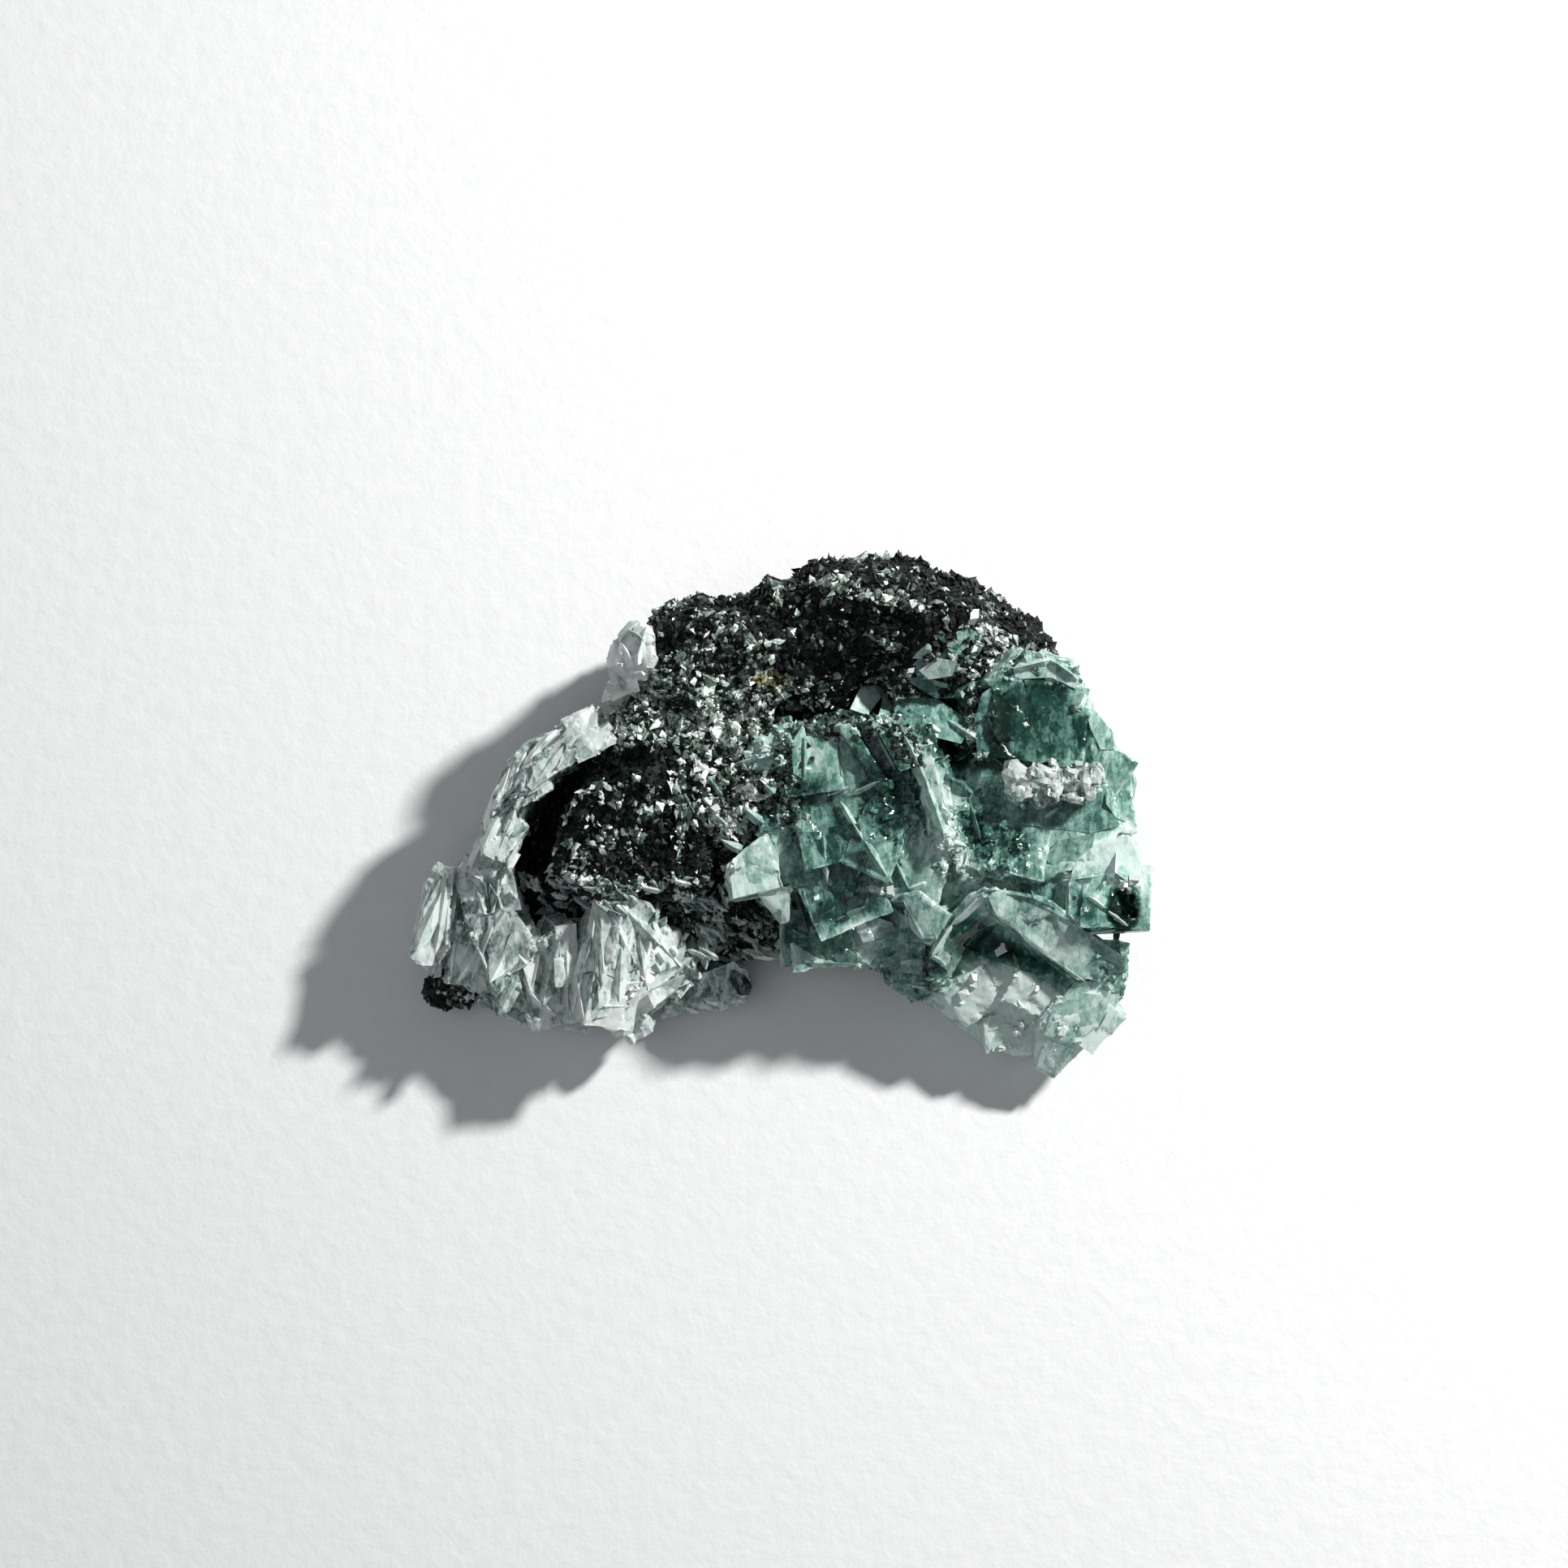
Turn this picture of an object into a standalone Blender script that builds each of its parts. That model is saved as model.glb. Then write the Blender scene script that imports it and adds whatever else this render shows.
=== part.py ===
"""A hand specimen of fluorite: intergrown green cubes and colourless jagged crystals on a dark rock matrix.

Sizes are in millimetres and become metres where a mesh is made. +X runs along the longest side, +Y across
it and +Z up. The origin lies on the flat underside, at the middle of the specimen's length and depth.
"""
import bpy
import bmesh
from itertools import product
from math import atan2, cos, degrees, radians, sin
from mathutils import Vector

MM = 0.001

# Driving dimensions
LENGTH = 60.0
DEPTH = 42.0
CLEARANCE = 0.3
VOXEL = 0.75
LUMP_SIZE = 5.0
LUMP_HEIGHT = 1.7
GRAIN_SIZE = 1.5
GRAIN_HEIGHT = 0.8
ROCK_KEEP = 0.27
FOOT = -3.0

# Each block is the tight skin of its corner points, so all its faces are flat
GREEN_BLOCKS = {
    "shoulder": [
        (14.0, 9.4, 16.6), (18.4, 12.2, 17.2), (22.8, 10.9, 16.2), (24.6, 6.0, 15.6), (24.0, 3.4, 15.4),
        (15.6, 2.6, 16.2), (13.2, 10.0, 12.0), (23.9, 9.8, 11.5), (27.2, 4.6, 10.5), (28.4, 2.7, 9.6),
        (27.5, -0.8, 9.4), (14.0, -1.0, 13.0), (15.0, 8.6, 2.5), (22.0, 8.2, 2.5), (26.0, 3.0, 3.5),
        (25.4, 0.0, 3.5), (14.5, 0.0, 2.5)],
    "lower_shoulder": [
        (13.0, 2.4, 15.2), (24.4, 3.4, 14.6), (27.3, -0.6, 12.2), (25.6, -3.4, 12.4), (20.4, -5.6, 13.0),
        (14.2, -5.2, 14.0), (12.4, -0.6, 15.0), (14.0, 1.0, 2.5), (26.0, 1.8, 3.0), (26.0, -3.0, 3.0),
        (20.0, -5.4, 2.5), (14.0, -4.4, 2.5)],
    "right_knob": [
        (23.8, -2.4, 12.8), (27.4, -1.8, 13.4), (28.4, -3.2, 12.8), (28.8, -5.6, 12.2), (22.5, -5.6, 12.9),
        (22.6, -8.0, 12.4), (25.0, -9.5, 11.8), (29.4, -9.3, 10.6), (28.7, -3.4, 7.0), (29.6, -9.2, 6.8),
        (25.4, -9.4, 6.4), (24.0, -4.0, 4.0), (27.6, -4.2, 4.4), (27.8, -8.6, 4.6), (24.2, -8.6, 4.0)],
    "valley": [
        (12.0, -4.0, 12.6), (24.6, -3.6, 12.0), (24.8, -9.4, 10.4), (20.8, -8.4, 10.8), (16.6, -7.4, 11.4),
        (12.4, -9.6, 10.0), (12.0, -4.0, 2.5), (24.2, -4.0, 3.0), (24.2, -9.0, 3.0), (16.6, -7.8, 2.5),
        (12.2, -9.4, 2.5)],
    "plate": [
        (15.9, -5.8, 13.8), (21.1, -6.8, 13.0), (24.7, -9.9, 11.0), (27.6, -11.4, 9.2), (27.2, -12.9, 8.6),
        (23.6, -13.2, 9.0), (19.5, -10.2, 11.5), (16.9, -8.1, 13.0), (15.9, -5.9, 9.5), (21.1, -6.9, 9.0),
        (27.2, -11.6, 6.6), (26.8, -12.7, 6.4), (23.4, -12.7, 7.0), (18.0, -8.4, 9.6)],
    "left_arm": [
        (15.9, -5.9, 13.3), (14.6, -6.4, 12.8), (16.4, -7.6, 12.6), (12.2, -9.4, 11.2), (11.6, -11.6, 10.2),
        (13.6, -10.0, 11.0), (12.2, -14.0, 7.2), (13.6, -12.6, 8.2), (12.0, -9.6, 3.0), (11.8, -12.0, 3.0),
        (12.6, -13.6, 2.5), (15.0, -6.6, 3.0), (16.2, -8.0, 3.0)],
    "broken_slope": [
        (16.9, -8.4, 9.6), (23.0, -12.8, 8.2), (13.0, -10.6, 8.8), (11.2, -14.6, 4.2), (14.4, -17.0, 3.4),
        (17.2, -19.0, 3.0), (20.2, -19.3, 3.4), (25.2, -13.6, 6.4), (18.6, -14.6, 7.4), (13.0, -14.8, 0.5),
        (15.0, -16.6, 0.2), (17.4, -18.5, 0.2), (19.8, -18.8, 0.2), (24.0, -13.0, 0.5), (18.0, -8.0, 1.0),
        (13.0, -10.0, 1.0)],
    "tip": [
        (20.6, -16.2, 7.4), (23.4, -13.4, 8.4), (27.2, -13.0, 7.6), (27.4, -14.6, 6.8), (26.1, -16.6, 6.2),
        (24.5, -18.6, 5.2), (22.1, -21.1, 3.4), (20.5, -20.4, 3.6), (20.8, -16.4, 0.0), (26.4, -13.8, 0.2),
        (26.6, -15.4, 0.0), (24.2, -18.2, 0.0), (22.3, -20.3, 0.0), (21.0, -19.6, 0.0)],
    "right_bump": [
        (24.8, -9.9, 10.0), (27.0, -10.0, 9.0), (27.9, -10.2, 8.2), (27.3, -11.8, 8.6), (27.5, -14.4, 6.6),
        (25.0, -13.8, 7.6), (25.2, -10.4, 4.0), (27.2, -10.6, 4.6), (27.0, -14.0, 2.0), (25.0, -13.6, 2.0)],
    "middle": [
        (-0.8, 6.4, 15.4), (4.6, 8.0, 16.2), (9.0, 7.0, 16.0), (13.0, 4.2, 16.0), (13.4, -3.0, 14.4),
        (12.4, -7.2, 12.6), (7.0, -7.0, 12.4), (-0.2, -5.6, 12.8), (-1.6, -1.8, 14.2), (0.0, 5.4, 2.5),
        (12.6, 5.0, 2.5), (12.6, -6.8, 2.5), (2.4, -8.4, 3.0), (-0.6, -5.0, 3.0)],
    "front_wall": [
        (-0.2, -7.6, 10.4), (8.8, -7.4, 10.4), (11.6, -9.2, 10.2), (11.2, -11.6, 9.0), (8.2, -12.2, 8.6),
        (-0.2, -12.1, 8.8), (0.2, -11.6, 2.5), (8.2, -11.7, 2.5), (11.0, -11.0, 2.5), (11.0, -7.0, 2.5),
        (0.2, -7.0, 2.5)],
    "pale_face": [
        (-4.4, -4.2, 14.0), (-1.4, -1.7, 14.6), (0.2, -6.0, 13.8), (-4.2, -7.0, 13.2), (-4.6, -4.2, 12.6),
        (-4.4, -7.1, 12.4), (-3.6, -3.8, 6.0), (0.2, -2.4, 6.0), (0.4, -6.4, 6.0), (-3.6, -6.4, 6.0)],
    "tooth": [
        (-2.4, -6.2, 13.2), (0.7, -5.8, 13.4), (0.6, -8.6, 12.0), (-0.2, -8.8, 11.6), (-1.0, -7.6, 12.2),
        (-1.4, -6.2, 8.0), (0.8, -6.0, 8.0), (0.6, -8.2, 8.0)],
    "pale_polygon": [
        (9.4, -6.4, 13.6), (10.7, -6.1, 13.8), (11.9, -7.3, 13.6), (13.2, -8.0, 13.2), (11.7, -10.7, 12.0),
        (10.2, -9.2, 12.4), (9.8, -6.6, 8.0), (12.8, -7.4, 8.0), (11.6, -10.2, 8.0)],
    "tab": [
        (5.4, -8.2, 12.2), (6.7, -8.0, 12.3), (7.4, -10.0, 11.2), (6.3, -10.3, 11.0), (5.6, -7.8, 9.0),
        (7.2, -7.8, 9.0), (7.2, -9.8, 9.0), (6.3, -9.8, 9.0)],
    "blade": [
        (6.8, 7.3, 17.4), (10.8, 7.8, 16.8), (12.6, 4.2, 16.8), (9.1, 2.9, 17.4), (7.0, 6.8, 10.0),
        (11.6, 7.0, 10.0), (12.4, 3.6, 10.0), (9.2, 3.2, 10.0)],
    "veil_ridge": [
        (9.8, 5.2, 17.2), (11.4, 5.0, 17.4), (13.6, -2.4, 16.0), (12.4, -3.0, 15.6), (9.8, 4.0, 11.0),
        (13.6, 2.0, 11.0), (14.0, -2.6, 11.0), (12.0, -3.0, 11.0)],
    "small_fin": [
        (4.2, 6.6, 16.9), (5.2, 6.8, 16.9), (8.6, 2.0, 16.2), (7.8, 1.4, 16.0), (4.6, 5.0, 10.0),
        (8.4, 4.6, 10.0), (8.0, 1.8, 10.0)],
    "crest_fin": [
        (-0.2, 7.0, 16.9), (0.7, 7.4, 17.0), (0.4, 3.2, 15.8), (-2.6, 3.4, 15.2), (-2.8, 4.6, 15.6),
        (0.4, 6.6, 9.0), (0.4, 3.4, 9.0), (-2.2, 4.0, 9.0)],
    "perched_crystal": [
        (5.2, 8.3, 17.0), (6.0, 9.9, 18.6), (7.8, 10.5, 18.8), (8.8, 9.6, 18.0), (8.0, 8.2, 17.2),
        (6.0, 7.7, 16.6), (5.8, 8.0, 12.0), (8.2, 8.2, 12.0), (7.6, 9.6, 12.0), (6.2, 9.2, 12.0)],
    "white_rib": [
        (15.2, 9.6, 17.6), (15.9, 9.4, 17.5), (18.6, 12.4, 18.4), (18.0, 12.8, 18.2), (15.4, 9.6, 12.0),
        (16.4, 9.2, 12.0), (18.8, 11.8, 12.0), (18.2, 12.2, 12.0)],
    "back_ledge": [
        (18.2, 12.6, 18.2), (21.6, 12.0, 17.8), (23.4, 10.2, 17.0), (22.6, 9.4, 16.8), (19.6, 10.6, 17.4),
        (18.4, 12.0, 12.0), (22.8, 10.6, 12.0), (22.6, 9.6, 12.0), (19.4, 10.4, 12.0)],
    "sparkling_band": [
        (17.6, 2.9, 16.6), (20.4, 3.6, 16.9), (24.4, 3.4, 16.5), (25.0, 1.6, 15.9), (21.6, 0.8, 16.2),
        (17.2, 0.7, 16.2), (17.6, 2.4, 11.0), (24.2, 2.8, 11.0), (24.6, 1.6, 11.0), (17.6, 1.0, 11.0)],
    "under_ledge": [
        (8.0, -11.4, 7.4), (11.4, -12.0, 7.4), (12.4, -13.4, 6.6), (10.7, -14.7, 5.2), (8.2, -13.3, 5.8),
        (8.2, -11.4, 2.6), (12.4, -12.0, 2.6), (12.0, -13.8, 2.6), (10.4, -14.0, 2.6), (8.6, -12.8, 2.6)],
}

# Cubes that stand out of the green mass: centre, edge lengths and turns about X, Y and Z
GREEN_CUBES = {
    "corner_cube": ((4.9, -6.3, 9.9), (6.2, 5.4, 6.4), (4, -3, 23)),
    "inner_cube": ((3.6, -1.6, 11.6), (5.2, 5.6, 6.6), (-3, 4, 12)),
    "window_cube": ((7.8, -1.2, 11.9), (4.0, 7.6, 6.4), (3, 2, -22)),
    "upper_cube": ((2.6, 3.4, 12.4), (4.2, 4.6, 7.2), (-4, -2, 8)),
    "shoulder_cube": ((19.8, 7.0, 13.4), (7.8, 6.2, 7.6), (2, 3, -6)),
    "edge_cube": ((24.7, 3.5, 9.4), (4.4, 5.0, 7.6), (4, 8, -32)),
    "low_edge_cube": ((26.0, 0.2, 8.6), (3.0, 4.2, 7.2), (-4, 9, 6)),
    "ledge_cube": ((17.6, -3.0, 11.0), (6.4, 4.6, 6.6), (-8, 2, -12)),
    "knob_cube": ((26.2, -6.4, 9.4), (5.6, 5.2, 6.6), (3, 5, -3)),
    "slope_cube_a": ((15.4, -13.4, 5.4), (4.2, 4.0, 4.6), (24, -14, 32)),
    "slope_cube_b": ((20.2, -13.0, 5.8), (4.8, 4.2, 4.8), (18, 20, -24)),
    "slope_cube_c": ((17.6, -16.4, 3.4), (3.6, 3.4, 3.8), (30, 10, 12)),
    "tip_cube": ((24.6, -15.6, 4.4), (4.4, 4.2, 4.6), (14, 18, -38)),
    "wall_cube": ((3.4, -10.0, 7.0), (5.2, 4.0, 6.0), (5, -4, 6)),
}

CLEAR_BLOCKS = {
    "great_crystal": [
        (-12.3, -6.1, 12.8), (-10.6, -7.2, 12.0), (-15.4, -8.2, 11.2), (-13.8, -12.4, 11.2), (-7.0, -12.6, 5.4),
        (-7.4, -13.5, 3.6), (-13.7, -17.6, 2.4), (-12.4, -17.2, 1.8), (-16.8, -15.6, 3.4), (-16.4, -12.0, 8.4),
        (-15.2, -8.0, 1.0), (-9.0, -9.0, 1.0), (-8.2, -12.8, 1.0), (-13.4, -16.8, 0.3), (-16.4, -15.0, 0.3)],
    "great_flank": [
        (-10.8, -9.0, 11.0), (-8.6, -10.4, 8.6), (-12.6, -13.6, 10.4), (-9.4, -14.6, 5.0), (-11.2, -16.2, 3.6),
        (-9.4, -10.0, 1.0), (-13.0, -13.6, 1.0), (-9.4, -14.2, 1.0)],
    "second_crystal": [
        (-18.6, -9.4, 10.6), (-16.8, -9.8, 10.2), (-21.0, -11.2, 8.8), (-17.2, -12.8, 8.8), (-16.6, -16.4, 2.6),
        (-19.8, -17.0, 1.8), (-21.6, -16.9, 1.6), (-22.4, -15.0, 4.4), (-20.6, -10.8, 1.0), (-16.6, -10.2, 1.0),
        (-16.8, -15.8, 0.2), (-21.2, -16.2, 0.2)],
    "third_crystal": [
        (-25.4, -8.0, 10.8), (-21.4, -7.4, 11.4), (-19.6, -10.8, 10.0), (-22.4, -14.4, 5.8), (-25.4, -14.2, 5.0),
        (-27.4, -12.0, 6.4), (-23.4, -11.2, 9.6), (-21.6, -8.0, 1.0), (-20.2, -11.0, 1.0), (-23.0, -13.8, 0.6),
        (-26.6, -12.4, 0.6), (-25.4, -8.4, 1.0)],
    "left_blade": [
        (-27.5, -3.8, 10.6), (-26.3, -4.2, 10.8), (-28.6, -5.6, 9.6), (-29.9, -11.4, 5.8), (-26.7, -10.6, 9.0),
        (-28.4, -12.8, 5.0), (-29.3, -8.0, 7.0), (-26.4, -5.0, 1.4), (-28.6, -6.4, 2.0), (-29.4, -11.2, 1.0),
        (-26.4, -11.0, 1.0)],
    "grey_face": [
        (-26.3, -4.8, 9.8), (-25.2, -3.4, 10.4), (-21.8, -3.4, 11.2), (-20.8, -7.6, 11.0), (-25.6, -8.2, 9.8),
        (-26.0, -5.0, 1.0), (-22.0, -4.0, 1.0), (-21.0, -7.4, 1.0), (-25.4, -8.0, 1.0)],
    "brown_crystal": [
        (-24.0, -13.2, 6.0), (-21.4, -13.0, 6.6), (-20.8, -16.6, 2.2), (-23.4, -15.6, 2.6), (-25.4, -15.2, 2.4),
        (-23.6, -13.4, 0.4), (-21.2, -13.6, 0.4), (-21.4, -16.0, 0.3), (-24.8, -14.8, 0.3)],
    "dark_bead": [
        (-6.4, -12.6, 6.4), (-4.0, -11.6, 7.0), (-2.8, -12.4, 6.4), (-2.4, -13.6, 5.4), (-3.2, -15.0, 3.8),
        (-5.6, -15.5, 3.0), (-7.6, -15.2, 3.0), (-7.8, -13.0, 4.4), (-6.2, -12.8, 1.2), (-3.2, -12.8, 1.2),
        (-3.4, -14.4, 0.8), (-7.2, -14.8, 0.6)],
    "small_wedge": [
        (-9.2, -14.8, 3.8), (-6.8, -14.2, 3.8), (-7.0, -15.8, 2.0), (-9.0, -15.4, 2.0), (-10.4, -16.2, 1.4),
        (-9.0, -14.0, 0.4), (-7.0, -14.6, 0.4), (-9.4, -15.4, 0.3)],
    "rim_top": [
        (-14.5, 8.6, 13.4), (-16.4, 7.2, 13.0), (-18.2, 7.0, 12.8), (-18.6, 4.4, 14.0), (-14.8, 6.2, 14.6),
        (-15.0, 7.4, 2.0), (-17.6, 6.2, 2.0), (-17.8, 4.6, 2.0), (-15.0, 5.8, 2.0)],
    "rim_upper": [
        (-17.4, 7.0, 13.2), (-20.5, 5.6, 12.0), (-22.0, 4.2, 11.2), (-20.4, 1.8, 13.8), (-18.0, 4.4, 14.0),
        (-18.0, 6.0, 1.4), (-21.0, 3.8, 1.4), (-20.4, 2.0, 1.4)],
    "rim_middle": [
        (-21.0, 4.6, 12.0), (-22.3, 3.6, 10.6), (-23.0, 1.6, 10.2), (-24.0, -0.6, 9.6), (-22.0, -2.0, 12.8),
        (-20.2, 2.4, 13.6), (-21.0, 3.4, 1.2), (-22.8, -0.4, 1.2), (-21.6, -1.6, 1.2)],
    "rim_lower": [
        (-23.2, 0.8, 11.0), (-24.2, -1.2, 10.0), (-24.8, -2.6, 9.6), (-25.3, -4.6, 9.4), (-22.8, -5.0, 12.0),
        (-21.6, -0.8, 12.8), (-22.6, 0.0, 1.2), (-24.2, -3.8, 1.2), (-22.4, -4.8, 1.2)],
}

CLEAR_CUBES = {
    "great_ridge": ((-14.0, -12.0, 7.2), (4.0, 8.6, 7.0), (12, 18, -8)),
    "great_corner": ((-10.6, -11.6, 6.6), (4.6, 4.4, 5.6), (28, 16, 34)),
    "second_ridge": ((-19.0, -13.2, 5.4), (3.6, 6.0, 5.4), (16, -12, 14)),
    "third_ridge": ((-23.4, -10.8, 6.6), (3.6, 5.4, 5.8), (14, 16, 28)),
    "left_ridge": ((-28.0, -8.4, 6.2), (1.8, 6.6, 5.8), (6, -6, -12)),
    "bead_cube": ((-4.2, -13.2, 4.0), (2.6, 2.4, 3.6), (18, -10, 28)),
    "spear_a": ((-16.0, -13.8, 4.4), (1.8, 6.2, 3.2), (24, 8, -12)),
    "spear_b": ((-12.6, -14.8, 4.8), (2.0, 5.2, 3.4), (30, -12, 22)),
    "spear_c": ((-20.6, -11.2, 6.8), (2.0, 6.0, 4.4), (20, 14, 20)),
    "spear_d": ((-22.6, -9.6, 8.0), (1.8, 5.4, 4.4), (14, -16, 34)),
    "spear_e": ((-25.8, -10.4, 6.4), (2.0, 5.6, 4.0), (18, 10, -8)),
    "spear_f": ((-9.8, -12.4, 5.8), (1.8, 4.6, 3.2), (26, 22, 48)),
    "spear_g": ((-13.4, -8.8, 9.6), (2.2, 5.2, 4.6), (22, -14, -18)),
    "spear_h": ((-18.0, -10.6, 8.0), (1.9, 5.0, 4.4), (16, 18, 6)),
}

# The left rim's splintery prisms stand in a row along this line
RIM_LINE = [(-15.3, 6.1), (-18.0, 4.6), (-20.6, 2.1), (-22.2, -1.0), (-23.1, -3.8)]
RIM_PRISMS = 10
RIM_PRISM_EDGES = (1.7, 3.6, 11.0)
RIM_TOP_START = 14.6
RIM_TOP_END = 12.4

KNOB_BLOCKS = {
    "knob": [
        (-13.8, 12.2, 13.6), (-13.4, 13.6, 14.2), (-11.7, 15.4, 14.0), (-10.2, 14.6, 16.2), (-9.8, 12.2, 16.8),
        (-10.8, 10.4, 16.0), (-13.4, 10.2, 12.6), (-12.8, 11.6, 15.6), (-13.2, 12.2, 7.0), (-11.8, 14.6, 7.0),
        (-10.4, 13.0, 7.0), (-11.0, 10.6, 7.0)],
    "knob_step": [
        (-14.3, 8.9, 12.4), (-13.6, 10.6, 13.0), (-11.6, 10.8, 15.0), (-11.2, 9.4, 15.4), (-13.4, 10.2, 7.0),
        (-11.6, 10.4, 7.0), (-13.4, 9.2, 7.0)],
}

ROCK_BLOCKS = {
    "upper_ridge": [
        (2.6, 19.7, 9.0), (4.4, 20.9, 10.0), (7.5, 20.5, 10.5), (9.9, 20.4, 10.5), (13.1, 19.3, 10.0),
        (16.4, 18.1, 9.5), (18.9, 16.3, 9.0), (21.3, 14.7, 8.5), (22.9, 12.8, 8.0), (23.8, 9.8, 7.5),
        (-0.6, 18.4, 8.5), (3.4, 17.0, 19.4), (8.4, 17.6, 21.0), (13.4, 16.0, 20.4), (18.2, 13.6, 18.8),
        (14.6, 9.4, 17.2), (4.6, 8.6, 17.6), (-1.0, 12.0, 18.4), (3.0, 17.6, FOOT), (9.0, 18.2, FOOT),
        (16.0, 15.8, FOOT), (20.6, 11.0, FOOT), (20.0, 4.0, FOOT), (0.0, 4.0, FOOT)],
    "crest": [
        (3.0, 16.0, 20.0), (8.6, 16.8, 21.6), (14.0, 14.8, 20.8), (12.0, 11.6, 19.2), (5.0, 12.0, 19.6),
        (4.0, 16.0, 12.0), (14.0, 15.0, 12.0), (12.0, 11.0, 12.0), (4.0, 11.0, 12.0)],
    "upper_left": [
        (-11.6, 15.0, 9.0), (-10.0, 16.8, 9.5), (-8.4, 17.5, 9.5), (-6.4, 17.4, 10.0), (-2.3, 17.6, 10.0),
        (0.4, 18.4, 10.0), (-13.2, 10.2, 9.0), (-8.8, 14.6, 16.6), (-3.0, 14.6, 17.8), (1.4, 13.0, 19.0),
        (-1.0, 8.0, 17.0), (-9.6, 8.4, 15.8), (-11.0, 11.6, 15.6), (-9.6, 15.0, FOOT), (-1.0, 16.0, FOOT),
        (-12.0, 8.0, FOOT), (2.0, 4.0, FOOT)],
    "saddle": [
        (-14.4, 8.4, 9.0), (-16.2, 6.6, 9.0), (-11.0, 8.6, 15.6), (-1.0, 7.6, 16.4), (0.4, 2.0, 14.6),
        (-4.0, -1.0, 13.8), (-11.0, 2.0, 15.0), (-15.4, 5.0, 13.4), (-15.0, 6.6, FOOT), (0.0, 6.0, FOOT),
        (0.0, -6.0, FOOT), (-12.0, -6.0, FOOT)],
    "dark_lump": [
        (-15.0, 2.6, 15.6), (-10.4, 3.0, 16.0), (-6.4, -1.6, 14.2), (-6.6, -5.6, 12.4), (-9.4, -6.6, 11.8),
        (-14.6, -6.6, 13.0), (-18.0, -3.6, 13.8), (-16.8, -0.4, 15.2), (-14.8, 3.0, 2.0), (-5.6, -2.0, 2.0),
        (-6.2, -7.6, 2.0), (-15.0, -7.8, 2.0), (-18.6, -4.0, 2.0)],
    "hollow_floor": [
        (-3.0, -6.0, 9.0), (-1.0, -9.6, 6.6), (-3.4, -11.4, 6.0), (-7.4, -10.6, 7.0), (-7.0, -6.0, 11.0),
        (-2.0, -5.0, FOOT), (-1.0, -10.0, FOOT), (-4.0, -11.8, FOOT), (-8.0, -11.0, FOOT), (-8.0, -5.0, FOOT)],
    "crevice_floor": [
        (-15.0, 5.6, 9.0), (-19.0, 3.0, 8.0), (-21.6, -2.0, 8.0), (-21.6, -6.0, 9.0), (-17.0, -8.2, 10.6),
        (-15.0, 0.0, 9.0), (-15.0, 5.0, FOOT), (-18.6, 3.0, FOOT), (-21.2, -2.0, FOOT), (-21.0, -6.4, FOOT),
        (-16.0, -8.0, FOOT)],
    "left_foot": [
        (-25.4, -5.0, 5.0), (-27.6, -9.0, 4.0), (-27.0, -12.4, 4.0), (-21.0, -14.0, 4.0), (-14.0, -13.0, 5.0),
        (-10.0, -8.0, 6.0), (-17.0, -4.0, 6.0), (-24.4, -5.6, FOOT), (-26.6, -9.0, FOOT), (-26.0, -12.0, FOOT),
        (-20.6, -13.2, FOOT), (-13.6, -12.4, FOOT), (-9.0, -8.0, FOOT), (-16.0, -3.0, FOOT)],
    "dark_bit": [
        (-29.5, -12.8, 4.0), (-28.6, -12.6, 5.4), (-26.2, -13.2, 5.0), (-25.6, -15.0, 3.6), (-27.6, -15.4, 3.0),
        (-29.2, -14.0, 3.0), (-28.6, -12.8, FOOT), (-25.0, -12.6, FOOT), (-25.8, -14.8, FOOT), (-28.0, -14.8, FOOT),
        (-24.0, -11.6, 4.6), (-25.6, -10.6, 4.6)],
    "core_foot": [
        (-18.0, 6.6, 5.0), (-8.0, 11.0, 5.0), (19.6, 10.0, 5.6), (20.0, -4.0, 5.0), (10.0, -9.4, 4.6),
        (-4.0, -9.0, 5.0), (-20.0, -9.0, 5.0), (-17.6, 6.0, FOOT), (-8.0, 10.6, FOOT), (19.0, 9.6, FOOT),
        (19.0, -4.0, FOOT), (9.6, -9.0, FOOT), (-4.0, -8.6, FOOT), (-19.6, -8.6, FOOT)],
    "right_foot": [
        (-4.0, -8.0, 5.0), (0.0, -10.6, 4.4), (10.6, -10.2, 4.4), (16.0, -9.0, 4.0), (24.4, -3.0, 5.0),
        (25.0, 3.0, 5.6), (22.0, 8.0, 6.0), (0.0, 6.0, 6.0), (-3.0, -7.6, FOOT), (0.4, -10.0, FOOT),
        (10.4, -9.6, FOOT), (15.6, -8.4, FOOT), (23.0, -3.0, FOOT), (23.6, 3.0, FOOT), (21.0, 8.0, FOOT)],
    "spike": [
        (-1.8, 18.0, 12.0), (-1.0, 19.5, 12.6), (-0.2, 18.4, 12.2), (-1.6, 16.6, 17.0), (0.4, 16.6, 17.0),
        (-1.8, 17.0, 6.0), (0.2, 17.0, 6.0)],
}

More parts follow.
